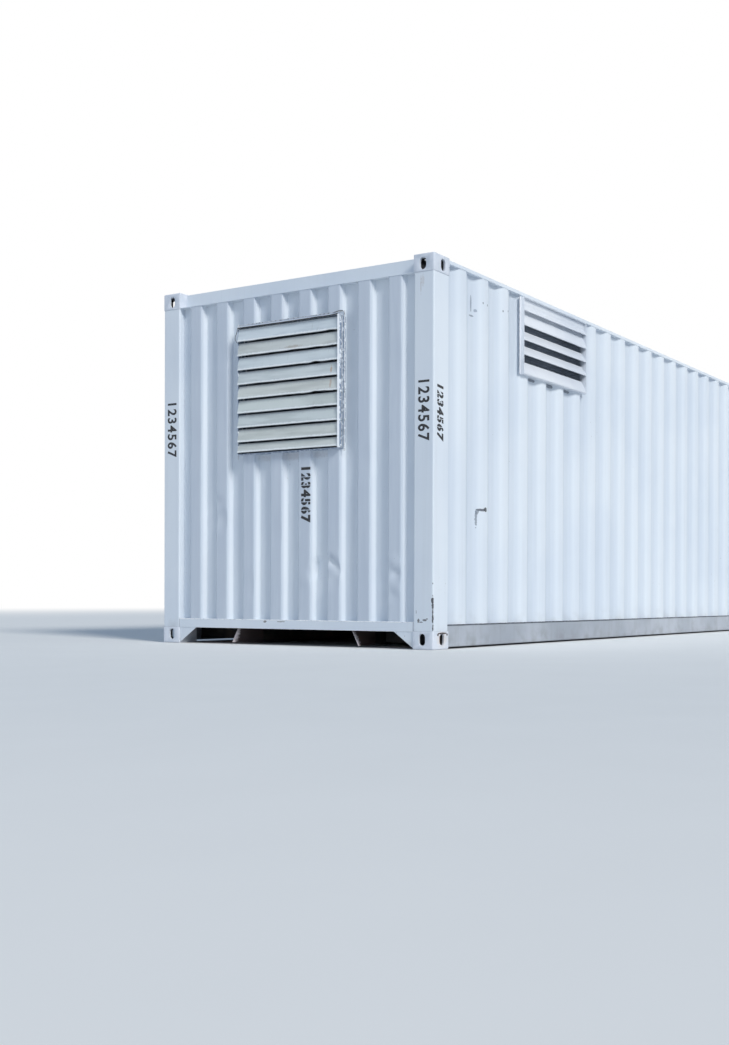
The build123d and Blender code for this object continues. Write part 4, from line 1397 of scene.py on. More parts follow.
@dataclass
class EndLouvre:
    """Louvre of the end wall: bare coated blades in a sleeve, caulked by hand to the crests.

    Attributes:
        sheet_mm: Thickness of the sleeve.
        foot_mm: Room under the lowest blade.
        head_mm: Distance of the first lip from the top.
        pitch_mm: Distance between lips.
        flange_mm: Width of the flange.
        rise_mm: Height of a blade's face.
        low_rise_mm: Height of the lowest blade's face, over which the last opening is as wide as the others.
        run_mm: Depth of a blade's face.
        hem_mm: Width of a blade's hem.
        lean_mm: How far a lip leans out.
        setback_mm: How far the lips stay behind the foremost plane, for their knocks.
        trim_depth_mm: Depth of the edge strip.
        trim_lap_mm: How far the edge strip laps over the blades' ends.
        trim_sheet_mm: Thickness of the edge strip.
        trim_rows: Rows of faces down the edge strip.
        tape_depth_mm: How far the tape lies behind the foremost plane.
        knocks: Hard knocks in the lips, by the number of the blade from the top.
    """

    sheet_mm: float = 2.0
    foot_mm: float = 10.0
    head_mm: float = 101.0
    pitch_mm: float = 102.4
    flange_mm: float = 24.0
    rise_mm: float = 60.0
    low_rise_mm: float = 39.0
    run_mm: float = 15.0
    hem_mm: float = 12.0
    lean_mm: float = 5.0
    setback_mm: float = 1.6
    trim_depth_mm: float = 19.0
    trim_lap_mm: float = 2.2
    trim_sheet_mm: float = 1.2
    trim_rows: int = 12
    tape_depth_mm: float = 6.0
    knocks: dict[int, tuple[tuple[float, ...], ...]] = field(default_factory=lambda: {
        0: ((840, 5, 6, 60),), 1: ((520, 3, 2, 90), (800, -3, 4, 80)), 2: ((715, 7, 2, 60), (640, -3, 0, 60)),
        4: ((700, 8, 3, 55), (610, -3, 0, 50), (780, 4, 0, 50)), 5: ((700, 4, 2, 50),),
    })

    def __post_init__(self) -> None:
        """Take the sleeve's place, its half width, foot, top and foremost plane, from the frame."""
        low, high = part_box("end_louvre_frame")
        self.half = (high.y - low.y) / 2 - self.flange_mm * MM
        self.foot, self.top = low.z, high.z - self.flange_mm * MM
        self.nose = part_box("end_louvre_blades")[0].x

    def build(self) -> None:
        """Build the blades, the edge strip, the caulk and the tape."""
        self.hang_blades()
        self.trim_right()
        self.caulk()
        self.tape()

    def hang_blades(self) -> None:
        """Hang the blades in their sleeve, each with its own knocks and tint."""
        random.seed(31)
        left = self.half - self.sheet_mm * MM
        lowest = self.foot + (self.sheet_mm + self.foot_mm) * MM
        lips = lip_levels(self.top - self.head_mm * MM, self.pitch_mm * MM, lowest)
        for index, level in enumerate(lips):
            rise = self.low_rise_mm if level == lowest else self.rise_mm
            waves = self.knocks.get(index, ()) + faint_knocks(5, 860, 1.6, 1.5)
            blade = LouvreBlade(
                f"end_louvre_blade_{index + 1}", Vector((self.nose + self.setback_mm * MM, left, level)),
                Vector((0, -1, 0)), Vector((1, 0, 0)), 2 * left, rise, self.run_mm, rise / 3, self.hem_mm,
                self.lean_mm, waves,
            ).fold()
            blade.dress(BLADE_FINISHES[index % len(BLADE_FINISHES)], Slot.LOUVRE, ["end_louvre_blades"])

    def trim_right(self) -> None:
        """Fold an edge strip over the sleeve's right side, so that it holds the blades' ends."""
        nose = self.nose + self.setback_mm * MM
        depth, lap = self.trim_depth_mm * MM, self.trim_lap_mm * MM
        start = Vector((nose + depth, -self.half - 0.2 * MM, self.foot))
        height = UP * (self.top - self.foot)
        piece = Workpiece.strip("end_louvre_trim", start, Vector((-depth, 0, 0)), height)
        with piece.editing():
            piece.select_edges_at(Vector((nose, 0, 0)), Vector((1, 0, 0)))
            piece.extrude((0, lap, 0))
            piece.extrude((lap, 0, 0))
            piece.divide((0, 0, self.foot), height / self.trim_rows, self.trim_rows)
            piece.face_towards((0, -1, 0))
        piece.thicken(self.trim_sheet_mm, 1.0, even=False)
        piece.break_edges(0.5, 1)
        piece.dress(TRIM_COAT, Slot.LOUVRE)

    def caulk(self) -> None:
        """Smear sealant along the flange and the sleeve."""
        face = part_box("front_wall")[0].x - self.sheet_mm * MM
        outer, head = self.half + self.flange_mm * MM, self.top + self.flange_mm * MM
        foot, top, sleeve = self.foot, self.top, self.half + 0.004
        for name, start, stop, radius, ripple, wander in (
            ("caulk_right", (-outer, foot - 0.02), (-outer, top + 0.03), 3.4, 38.0, 2.2),
            ("caulk_left", (outer, foot - 0.03), (outer, top + 0.03), 4.0, 34.0, 2.0),
            ("caulk_top", (outer, head), (-outer, head), 3.0, 60.0, 0.8),
            ("caulk_sleeve_right", (-sleeve, foot), (-sleeve, top), 3.0, 30.0, 2.4),
        ):
            bead = Bead(name, Vector((face, *start)), Vector((face, *stop)), radius, ripple, wander)
            bead.lay(CAULK, Slot.LOUVRE)

    def tape(self) -> None:
        """Press dark sealing tape under the sleeve's head, with a loose end at each corner."""
        front, half = self.nose + self.tape_depth_mm * MM, self.half
        for name, radius, points in (
            ("seal_tape_top", 3.6,
             ((half - 0.002, -0.004), (half * 0.4, -0.005), (-half * 0.3, -0.004), (-half * 0.62, -0.001),
              (-half * 0.8, -0.004), (-half + 0.004, 0.002))),
            ("seal_tape_left_end", 1.7,
             ((half - 0.004, -0.006), (half + 0.004, -0.034), (half + 0.022, -0.066), (half + 0.020, -0.090),
              (half - 0.002, -0.112))),
            ("seal_tape_right_end", 2.6,
             ((-half + 0.030, 0.014), (-half - 0.006, 0.020), (-half - 0.040, 0.019))),
        ):
            ribbon = Ribbon(name, [Vector((front, y, self.top + rise)) for y, rise in points], radius)
            ribbon.lay(SEAL, Slot.RUBBER)


@dataclass
class Ribbon:
    """Thin strip of tape that follows a few points on a smooth line.

    Attributes:
        name: Name of the piece.
        points: Points that the strip follows.
        radius_mm: Half thickness of the strip.
    """

    name: str
    points: list[Vector]
    radius_mm: float

    def lay(self, finish: Finish, slot: Slot) -> None:
        """Draw the line, give it its thickness and make it a mesh.

        Args:
            finish: Finish of the strip.
            slot: Slot of the record that it belongs to.
        """
        rest_hands()
        bpy.ops.curve.primitive_nurbs_path_add()
        curve = bpy.context.active_object
        spline = curve.data.splines[0]
        spline.points.add(max(0, len(self.points) - len(spline.points)))
        last, last_given = len(spline.points) - 1, len(self.points) - 1
        for number, point in enumerate(list(spline.points)):
            share = number / last * last_given
            before = min(int(share), last_given - 1)
            point.co = (*self.points[before].lerp(self.points[before + 1], share - before), 1.0)
        spline.order_u = 3
        spline.use_endpoint_u = True
        curve.data.bevel_depth = self.radius_mm * MM
        curve.data.bevel_resolution = 2
        curve.data.use_fill_caps = True
        bpy.ops.object.convert(target="MESH")
        piece = Workpiece.adopt(bpy.context.active_object, self.name)
        piece.tidy()
        piece.dress(finish, slot, smooth_deg=80.0)


@dataclass
class SideLouvre:
    """Louvre of the right wall: painted blades in a sleeve whose flange lies on the crests.

    Attributes:
        sheet_mm: Thickness of the sleeve.
        stile_mm: Distance of the sleeve's sides from the ends of the frame's place.
        edge_mm: Distance of its head and foot from the edges of that place.
        flange_mm: Width of the flange.
        depth_mm: Depth of the sleeve.
        columns: Columns of faces along the sleeve.
        foot_mm: Room under the lowest blade.
        head_mm: Distance of the first lip from the top.
        pitch_mm: Distance between lips.
        setback_mm: How far the lips stay behind the foremost plane, for their knocks.
        rise_mm: Height of a blade's face.
        tall_rise_mm: Height of the second blade's face, which closes the opening over it.
        low_rise_mm: Height of the lowest blade's face.
        strip_rise_mm: Height of a blade's upper strip.
        tall_strip_rise_mm: Height of the second blade's upper strip.
        run_mm: Depth of a blade's face.
        hem_mm: Width of a blade's hem.
        lean_mm: How far a lip leans out.
        baffle_mm: Height of the baffle behind the top opening.
        baffle_depth_mm: How far the baffle stands behind the sleeve's front.
        baffle_foot_mm: Width of its folded foot.
        mesh_mm: Opening of the bird mesh.
        wire_mm: Thickness of its wires.
    """

    sheet_mm: float = 2.0
    stile_mm: float = 60.0
    edge_mm: float = 16.0
    flange_mm: float = 26.0
    depth_mm: float = 62.0
    columns: int = 10
    foot_mm: float = 1.0
    head_mm: float = 98.0
    pitch_mm: float = 108.0
    setback_mm: float = 1.4
    rise_mm: float = 53.0
    tall_rise_mm: float = 92.0
    low_rise_mm: float = 76.0
    strip_rise_mm: float = 12.0
    tall_strip_rise_mm: float = 36.0
    run_mm: float = 40.0
    hem_mm: float = 10.0
    lean_mm: float = 1.0
    baffle_mm: float = 54.0
    baffle_depth_mm: float = 26.0
    baffle_foot_mm: float = 14.0
    mesh_mm: float = 18.0
    wire_mm: float = 5.0

    def __post_init__(self) -> None:
        """Take the frame's place and the sleeve's sides from the frame."""
        self.low, self.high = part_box("side_louvre_frame")
        self.left, self.right = self.low.x + self.stile_mm * MM, self.high.x - self.stile_mm * MM
        self.head = self.high.z - self.sheet_mm * MM

    def build(self) -> None:
        """Fold the sleeve, hang the painted blades, close the top opening and stretch the bird mesh."""
        self.fold_sleeve()
        self.hang_blades()
        self.close_head()
        self.stretch_mesh()

    def fold_sleeve(self) -> None:
        """Fold the sleeve, lay its flange on the crests and seal the flange's edges with dusty beads, whose
        dark grey is also painted shadow.
        """
        foot, front, crest = self.low.z, self.low.y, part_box("right_wall")[0].y
        sheet, flange = self.sheet_mm * MM, self.flange_mm * MM
        sleeve = Workpiece.block("side_louvre_sleeve", (self.left, front, foot),
                                 (self.right, front + self.depth_mm * MM, self.head))
        with sleeve.editing():
            sleeve.select("FACE", lambda f: abs(f.normal.y) > 0.9)
            bpy.ops.mesh.delete(type="FACE")
            sleeve.divide((self.left, 0, 0), ((self.right - self.left) / self.columns, 0, 0), self.columns)
        sleeve.thicken(self.sheet_mm)
        sleeve.break_edges(0.8, 2)
        strips = []
        for x in (self.left - flange, self.right):
            strip = Workpiece.block("flange", (x, crest - sheet, foot), (x + flange, crest, self.head))
            strip.break_edges(0.8, 2)
            strips.append(strip)
        sleeve.join(strips, "side_louvre_sleeve")
        sleeve.dress(BLADE_ENAMEL, Slot.LOUVRE, ["side_louvre_frame"])
        # Sealant beads whose dark grey is also the painted shadow line at the flange's edges.
        for name, x in (("left", self.left - flange), ("right", self.right + flange)):
            ends = [Vector((x, crest - 1 * MM, z)) for z in (foot, self.head)]
            Bead(f"side_louvre_seal_{name}", *ends, 1.7, 46.0, 0.6).lay(DUSTY_SEAL_AND_SHADOW, Slot.LOUVRE)

    def hang_blades(self) -> None:
        """Hang the blades, each with its own faint knocks."""
        random.seed(47)
        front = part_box("side_louvre_blades")[0].y + self.setback_mm * MM
        sheet = self.sheet_mm * MM
        lowest = self.low.z + sheet + self.foot_mm * MM
        lips = lip_levels(self.high.z - self.head_mm * MM, self.pitch_mm * MM, lowest)
        for index, level in enumerate(lips):
            rise = {1: self.tall_rise_mm, len(lips) - 1: self.low_rise_mm}.get(index, self.rise_mm)
            start = Vector((self.left + sheet, front, level))
            blade = LouvreBlade(
                f"side_louvre_blade_{index + 1}", start, Vector((1, 0, 0)), Vector((0, 1, 0)),
                self.right - self.left - 2 * sheet, rise, self.run_mm,
                self.tall_strip_rise_mm if index == 1 else self.strip_rise_mm, self.hem_mm, self.lean_mm,
                faint_knocks(4, 900, 1.2, 1.2),
            ).fold()
            blade.dress(BLADE_ENAMEL, Slot.LOUVRE, ["side_louvre_blades"])

    def close_head(self) -> None:
        """Bend the baffle that closes the opening over the first blade."""
        room, head_room = 3 * MM, 6 * MM
        start = Vector((self.left + room, self.low.y + self.baffle_depth_mm * MM,
                        self.high.z - head_room - self.baffle_mm * MM))
        across = Vector((self.right - self.left - 2 * room, 0, 0))
        baffle = Workpiece.strip("side_louvre_baffle", start, UP * self.baffle_mm * MM, across)
        with baffle.editing():
            baffle.select_edges_at(start, UP)
            baffle.extrude((0, self.baffle_foot_mm * MM, 0))
            baffle.round_folds(2.0, 2)
            bpy.ops.mesh.select_all(action="SELECT")
            bpy.ops.mesh.normals_make_consistent(inside=False)
        baffle.thicken(1.5, 0.0, even=False)
        baffle.dress(BLADE_ENAMEL, Slot.LOUVRE)

    def stretch_mesh(self) -> None:
        """Stretch welded bird mesh over the sleeve's back; its grey is painted shade seen through the
        louvre's gaps.
        """
        sheet = self.sheet_mm * MM
        left, right, foot, head = self.left + sheet, self.right - sheet, self.low.z + sheet, self.head - sheet
        back = self.low.y + (self.depth_mm - self.wire_mm) * MM
        mesh = Workpiece("side_louvre_mesh", bpy.ops.mesh.primitive_grid_add, size=1,
                         x_subdivisions=round((right - left) / (self.mesh_mm * MM)),
                         y_subdivisions=round((head - foot) / (self.mesh_mm * MM)))
        across = Matrix(((right - left, 0, 0), (0, 0, 1), (0, head - foot, 0))).to_4x4()
        mesh.obj.data.transform(Matrix.Translation(((left + right) / 2, back, (foot + head) / 2)) @ across)
        mesh.apply("WIREFRAME", thickness=self.wire_mm * MM, use_even_offset=False, use_boundary=True)
        mesh.dress(MESH_SHADE_ENAMEL, Slot.ZINC)


@dataclass
class Bead:
    """Bead of weld or sealant: a round run whose width swells and shrinks at every ripple.

    Attributes:
        name: Name of the piece.
        start: First end.
        stop: Last end.
        radius_mm: Half width of the bead.
        ripple_mm: Length of a ripple.
        wander_mm: How far lumps stand out.
        swell: Width of a swelling, as a share of the bead's.
    """

    name: str
    start: Vector
    stop: Vector
    radius_mm: float
    ripple_mm: float
    wander_mm: float = 0.0
    swell: float = 1.22

    def shape(self) -> Workpiece:
        """Shape one ripple, repeat it, close its ends and set the run in place.

        Returns:
            The bead.
        """
        run = self.stop - self.start
        count = max(2, round(run.length / (self.ripple_mm * MM)))
        step = run.length / count
        piece = Workpiece(self.name, bpy.ops.mesh.primitive_cylinder_add, vertices=8, depth=step,
                          radius=self.radius_mm * MM, end_fill_type="NOTHING", location=(0, 0, step / 2))
        # The swelling lies just past the middle of a ripple.
        with piece.editing():
            piece.bisect((0, 0, step * 0.55), UP)
            piece.select("VERT", lambda v: step * 0.5 < v.co.z < step * 0.6)
            bpy.ops.transform.resize(value=(self.swell, self.swell, 1))
        piece.repeat(count, (0, 0, step), 0.05)
        with piece.editing():
            piece.select("EDGE", lambda e: e.is_boundary)
            bpy.ops.mesh.edge_face_add()
        if self.wander_mm:
            lumps = bpy.data.textures.new(self.name, "CLOUDS")
            lumps.noise_scale = 0.02
            piece.apply("DISPLACE", texture=lumps, texture_coords="LOCAL", strength=self.wander_mm * MM,
                        mid_level=0.4)
        turn = run.to_track_quat("Z", "Y").to_matrix().to_4x4()
        piece.obj.data.transform(Matrix.Translation(self.start) @ turn)
        piece.tidy()
        return piece

    def lay(self, finish: Finish, slot: Slot) -> None:
        """Shape and dress the bead."""
        self.shape().dress(finish, slot, smooth_deg=80.0)


@dataclass
class CornerCasting:
    """Cast corner fitting with three apertures round a hollow, its edges rounded by the mould.

    Attributes:
        length_mm: Size along the container.
        width_mm: Size across it.
        height_mm: Height.
        base_mm: Thickness of the slotted wall.
        wall_mm: Thickness of the walls with side holes.
        back_mm: Thickness of the other walls.
        slot_mm: Length and width of the slot.
        slot_from_end_mm: Middle of the slot from the end.
        slot_from_side_mm: Middle of the slot from the side.
        hole_mm: Height and width of the side holes.
        hole_level_mm: Level of the side holes.
        corner_mm: Rounding of the outer corner.
        edge_mm: Rounding of the foot's edges.
        slack_mm: How far the hollow's faces may lie from its box.
    """

    length_mm: float = 178.0
    width_mm: float = 162.0
    height_mm: float = 118.0
    base_mm: float = 28.5
    wall_mm: float = 16.0
    back_mm: float = 10.0
    slot_mm: tuple[float, float] = (124.0, 63.5)
    slot_from_end_mm: float = 103.5
    slot_from_side_mm: float = 89.5
    hole_mm: tuple[float, float] = (79.5, 51.0)
    hole_level_mm: float = 65.0
    corner_mm: float = 12.0
    edge_mm: float = 9.0
    slack_mm: float = 0.5

    def stadium(self, size_mm: tuple[float, float], depth_mm: float, place: Vector, turn: Euler) -> Workpiece:
        """Cutter for a slotted hole, its length first along X.

        Args:
            size_mm: Length and width of the hole.
            depth_mm: Length of the cutter.
            place: Its middle, in metres.
            turn: How it is turned.

        Returns:
            The cutter.
        """
        cutter = Workpiece("cutter", bpy.ops.mesh.primitive_cylinder_add, vertices=32,
                           radius=size_mm[1] / 2 * MM, depth=depth_mm * MM)
        stretch = (size_mm[0] - size_mm[1]) / 2 * MM
        with cutter.editing():
            for sign in (1, -1):
                cutter.select("VERT", lambda v: v.co.x * sign > 0.1 * MM)
                bpy.ops.transform.translate(value=(sign * stretch, 0, 0))
        cutter.obj.data.transform(Matrix.Translation(place) @ turn.to_matrix().to_4x4())
        return cutter

    def pocket(self, slack_mm: float = 0.0) -> tuple[Vector, Vector]:
        """Box of the hollow, widened by a slack on every side.

        Args:
            slack_mm: The slack.

        Returns:
            The lowest and highest corners, in metres.
        """
        slack = Vector((slack_mm, slack_mm, slack_mm))
        foot = Vector((self.wall_mm, self.wall_mm, self.base_mm))
        size = Vector((self.length_mm, self.width_mm, self.height_mm))
        back = Vector((self.back_mm, self.back_mm, self.back_mm))
        return (foot - slack) * MM, (size - back + slack) * MM

    def cast(self) -> Workpiece:
        """Cast the bottom fitting of the front right corner, with that corner at the origin.

        Returns:
            The casting.
        """
        size = Vector((self.length_mm, self.width_mm, self.height_mm)) * MM
        piece = Workpiece.block("casting", (0, 0, 0), size)
        near, zero = (self.corner_mm + 1) * MM, 1 * MM
        with piece.editing():
            piece.select("EDGE", lambda e: all(v.co.x < zero and v.co.y < zero for v in e.verts))
            piece.round_off(self.corner_mm, 5)
            piece.select("EDGE", lambda e: all(v.co.z < zero for v in e.verts)
                         and min(sum(v.co.x for v in e.verts), sum(v.co.y for v in e.verts)) / 2 < near)
            piece.round_off(self.edge_mm, 4)
        piece.cut(Workpiece.block("pocket", *self.pocket()))
        end, side, level = self.slot_from_end_mm * MM, self.slot_from_side_mm * MM, self.hole_level_mm * MM
        quarter = math.pi / 2
        for hole_mm, depth_mm, place, turn in (
            (self.slot_mm, self.base_mm * 2.4, (end, side, 0), (0, 0, 0)),
            (self.hole_mm, self.wall_mm * 2.6, (0, side, level), (0, quarter, 0)),
            (self.hole_mm, self.wall_mm * 2.6, (end, 0, level), (quarter, quarter, 0)),
        ):
            piece.cut(self.stadium(hole_mm, depth_mm, Vector(place), Euler(turn)))
        piece.tidy()
        piece.break_edges(2.4, 2)
        return piece

    def build(self) -> None:
        """Cast one fitting and set its mirror images at the eight corners, with painted shade in the hollow.
        """
        first = self.cast()
        foot, head = self.pocket(self.slack_mm)
        hollow = [int(all(foot[axis] < face.center[axis] < head[axis] for axis in range(3)))
                  for face in first.obj.data.polygons]
        low, high = BOX_OF_CASTINGS
        for end in End:
            for side in Side:
                for level, top in (("bottom", False), ("top", True)):
                    corner = Vector((high.x if end is End.REAR else low.x,
                                     high.y if side is Side.LEFT else low.y, high.z if top else low.z))
                    flip = Matrix.Diagonal((-end.value, -side.value, -1 if top else 1, 1))
                    casting = first.copy(f"casting_{level}_{end.name.lower()}_{side.name.lower()}",
                                         Matrix.Translation(corner) @ flip)
                    near = end is End.FRONT and side is Side.RIGHT
                    casting.dress(CASTING_FINISHES[(level, near)], Slot.ENAMEL,
                                  [f"{level}_castings_{end.name.lower()}"])
                    # The hollow's faces take a dark coat: painted shade.
                    casting.obj.data.materials.append(HOLLOW_SHADE.material())
                    casting.obj.data.polygons.foreach_set("material_index", hollow)
        bpy.data.objects.remove(first.obj)


@dataclass
class Marking:
    """Number sprayed through a stencil, read downwards.

    Attributes:
        name: Name of the piece.
        place: Middle of the number, in metres.
        outward: Direction that the number faces.
        length_mm: Length of the number.
        height_mm: Height of a digit.
        weight: Thickening of the strokes, as a share of the type size.
        slant: Shear of the digits.
        tie: Width of the stencil's ties, as a share of the type size; none where it is 0.
        pitch: Distance between digits, as a share of the type size.
        digits: The number.
        tied: Digits that have a tie.
        film_mm: Thickness of the paint, which is cut out of type 1 mm thick.
    """

    name: str
    place: Vector
    outward: Vector
    length_mm: float
    height_mm: float
    weight: float
    slant: float = 0.0
    tie: float = 0.0
    pitch: float = 0.6
    digits: str = "1234567"
    tied: str = "2356890"
    film_mm: float = 0.4

    def set_digit(self, number: int) -> Workpiece:
        """Set one digit as a mesh, and cut the ties out of a round one.

        Args:
            number: Place of the digit in the number.

        Returns:
            The digit.
        """
        rest_hands()
        middle = number * self.pitch
        bpy.ops.object.text_add(location=(middle, 0, 0))
        text = bpy.context.active_object.data
        text.body = self.digits[number]
        text.align_x = text.align_y = "CENTER"
        text.shear = self.slant
        text.offset = self.weight
        text.extrude = 0.0005
        text.resolution_u = 6
        bpy.ops.object.convert(target="MESH")
        bpy.ops.object.transform_apply(location=True, rotation=True, scale=True)
        digit = Workpiece.adopt(bpy.context.active_object, f"digit_{number}")
        digit.tidy()
        if self.tie and self.digits[number] in self.tied:
            tie = Workpiece.block("tie", (middle - self.tie / 2, -1, -1), (middle + self.tie / 2, 1, 1))
            digit.cut(tie, use_self=True)
        return digit

    def spray(self) -> None:
        """Set the digits and lay them on the steel."""
        piece, *others = [self.set_digit(number) for number in range(len(self.digits))]
        piece.join(others, self.name)
        corners = [v.co for v in piece.obj.data.vertices]
        low = Vector([min(corner[axis] for corner in corners) for axis in range(3)])
        high = Vector([max(corner[axis] for corner in corners) for axis in range(3)])
        scale = Matrix.Diagonal((self.length_mm * MM / (high.x - low.x),
                                 self.height_mm * MM / (high.y - low.y), self.film_mm, 1))
        turn = Matrix((-UP, self.outward.cross(-UP), self.outward)).transposed().to_4x4()
        move = Matrix.Translation(self.place + self.outward * self.film_mm * MM) @ turn @ scale
        piece.obj.data.transform(move @ Matrix.Translation(-(low + high) / 2))
        piece.tidy()
        piece.dress(INK, Slot.ENAMEL, smooth_deg=20.0)


@dataclass
class Deck:
    """Plywood deck, laid in panels between steel strips.

    Attributes:
        panel_mm: Length of a panel.
        gap_mm: Gap between panels.
        rows: Panels across the width.
        edge_mm: Bevel of a panel's edges.
    """

    panel_mm: float = 1200.0
    gap_mm: float = 3.0
    rows: int = 2
    edge_mm: float = 1.5

    def build(self) -> None:
        """Cut one panel, repeat it and dress the deck."""
        low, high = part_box("floor")
        count = round((high.x - low.x) / (self.panel_mm * MM))
        step = (high.x - low.x) / count
        width = (high.y - low.y) / self.rows
        gap = self.gap_mm * MM
        panel = Workpiece.block("deck_panels", low, (low.x + step - gap, low.y + width - gap, high.z))
        with panel.editing():
            bpy.ops.mesh.select_all(action="SELECT")
            panel.round_off(self.edge_mm, 1)
        panel.repeat(count, (step, 0, 0))
        panel.repeat(self.rows, (0, width, 0))
        panel.dress(DECK_WOOD, Slot.PLYWOOD, ["floor"])


@dataclass
class Roof:
    """Die-stamped roof sheet: shallow troughs with rounded rims across the whole width.

    Attributes:
        pitch_mm: Distance between troughs.
        trough_mm: Width of a trough.
        depth_mm: Depth of a trough.
        draft_mm: Run of a trough's sides.
        end_mm: Distance of a trough's end from the sheet's edge.
        rim_mm: Rounding of a trough's rim.
        sheet_mm: Thickness.
    """

    pitch_mm: float = 209.0
    trough_mm: float = 104.0
    depth_mm: float = 16.0
    draft_mm: float = 14.0
    end_mm: float = 75.0
    rim_mm: float = 4.0
    sheet_mm: float = 2.0

    def build(self) -> None:
        """Stamp one trough, repeat it and fill the sheet up to both ends."""
        low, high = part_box("roof")
        pitch = self.pitch_mm * MM
        count = int((high.x - low.x) // pitch) - 1
        first = low.x + (high.x - low.x - count * pitch) / 2
        piece = Workpiece.strip("roof_sheet", Vector((first, low.y, high.z)), Vector((pitch, 0, 0)),
                                Vector((0, high.y - low.y, 0)))
        left = first + (self.pitch_mm - self.trough_mm) / 2 * MM
        right = left + self.trough_mm * MM
        near, far = low.y + self.end_mm * MM, high.y - self.end_mm * MM
        slack = 1 * MM
        with piece.editing():
            for x in (left, right):
                piece.bisect((x, 0, 0), (1, 0, 0))
            for y in (near, far):
                piece.bisect((0, y, 0), (0, 1, 0))
            piece.select("FACE", lambda f: left < f.calc_center_median().x < right
                         and near < f.calc_center_median().y < far)
            bpy.ops.mesh.inset(thickness=self.draft_mm * MM, depth=-self.depth_mm * MM)
            piece.select("EDGE", lambda e: all(left - slack < v.co.x < right + slack
                                               and near - slack < v.co.y < far + slack for v in e.verts))
            piece.round_off(self.rim_mm, 2)
        piece.repeat(count, (pitch, 0, 0), 0.2)
        last = first + count * pitch
        with piece.editing():
            for edge, end in ((first, low.x), (last, high.x)):
                piece.select_edges_at(Vector((edge, 0, 0)), Vector((1, 0, 0)))
                piece.extrude((end - edge, 0, 0))
            piece.face_towards(UP)
        piece.thicken(self.sheet_mm)
        piece.dress(ROOF_ENAMEL, Slot.ENAMEL, ["roof"])


@dataclass
class Fasteners:
    """Bolts of the door hinges: round heads on washers.

    Attributes:
        head_mm: Width of a head.
        rise_mm: Height of a head.
        dome_mm: Rounding of a head.
        washer_mm: Width of its washer.
        washer_rise_mm: Thickness of the washer.
        levels_mm: Middles of the hinges.
        bolts_mm: Bolts of a blade: distance from the leaf's outer edge, and from the blade's middle.
        leaf_edge_mm: Outer edge of a leaf, from the middle of the container.
        face_mm: Outer plane of the hinge blades.
    """

    head_mm: float = 18.0
    rise_mm: float = 6.0
    dome_mm: float = 3.2
    washer_mm: float = 26.0
    washer_rise_mm: float = 1.6
    levels_mm: tuple[float, ...] = (457.5, 1022.5, 1587.5, 2152.5)
    bolts_mm: tuple[tuple[float, float], ...] = ((42.0, 40.0), (70.0, 34.0), (98.0, 26.0))
    leaf_edge_mm: float = 1161.5
    face_mm: float = 6044.0

    def turn_bolt(self) -> Workpiece:
        """Turn one bolt head with its washer, on the origin and facing the rear.

        Returns:
            The bolt.
        """
        washer, head = (
            Workpiece(name, bpy.ops.mesh.primitive_cylinder_add, vertices=vertices, radius=width / 2 * MM,
                      depth=rise * MM, rotation=(0, math.pi / 2, 0), location=((foot + rise / 2) * MM, 0, 0))
            for name, vertices, width, rise, foot in (
                ("washer", 24, self.washer_mm, self.washer_rise_mm, 0.0),
                ("head", 16, self.head_mm, self.rise_mm, self.washer_rise_mm),
            )
        )
        nose = Vector((self.washer_rise_mm + self.rise_mm, 0, 0)) * MM
        with head.editing():
            head.select_edges_at(nose, Vector((1, 0, 0)))
            head.round_off(self.dome_mm, 3)
        washer.join([head], "bolt")
        return washer

    def build(self) -> None:
        """Set a bolt at every place on both leaves."""
        bolt = self.turn_bolt()
        places = [
            (self.face_mm, side.value * (self.leaf_edge_mm - inset), level + lift)
            for side in Side for level in self.levels_mm
            for inset, rise in self.bolts_mm for lift in (-rise, rise)
        ]
        first, *others = [bolt.copy(f"bolt_{number}", Matrix.Translation(Vector(place) * MM))
                          for number, place in enumerate(places)]
        bpy.data.objects.remove(bolt.obj)
        first.join(others, "hinge_bolts")
        first.dress(GEAR_ZINC, Slot.ZINC)


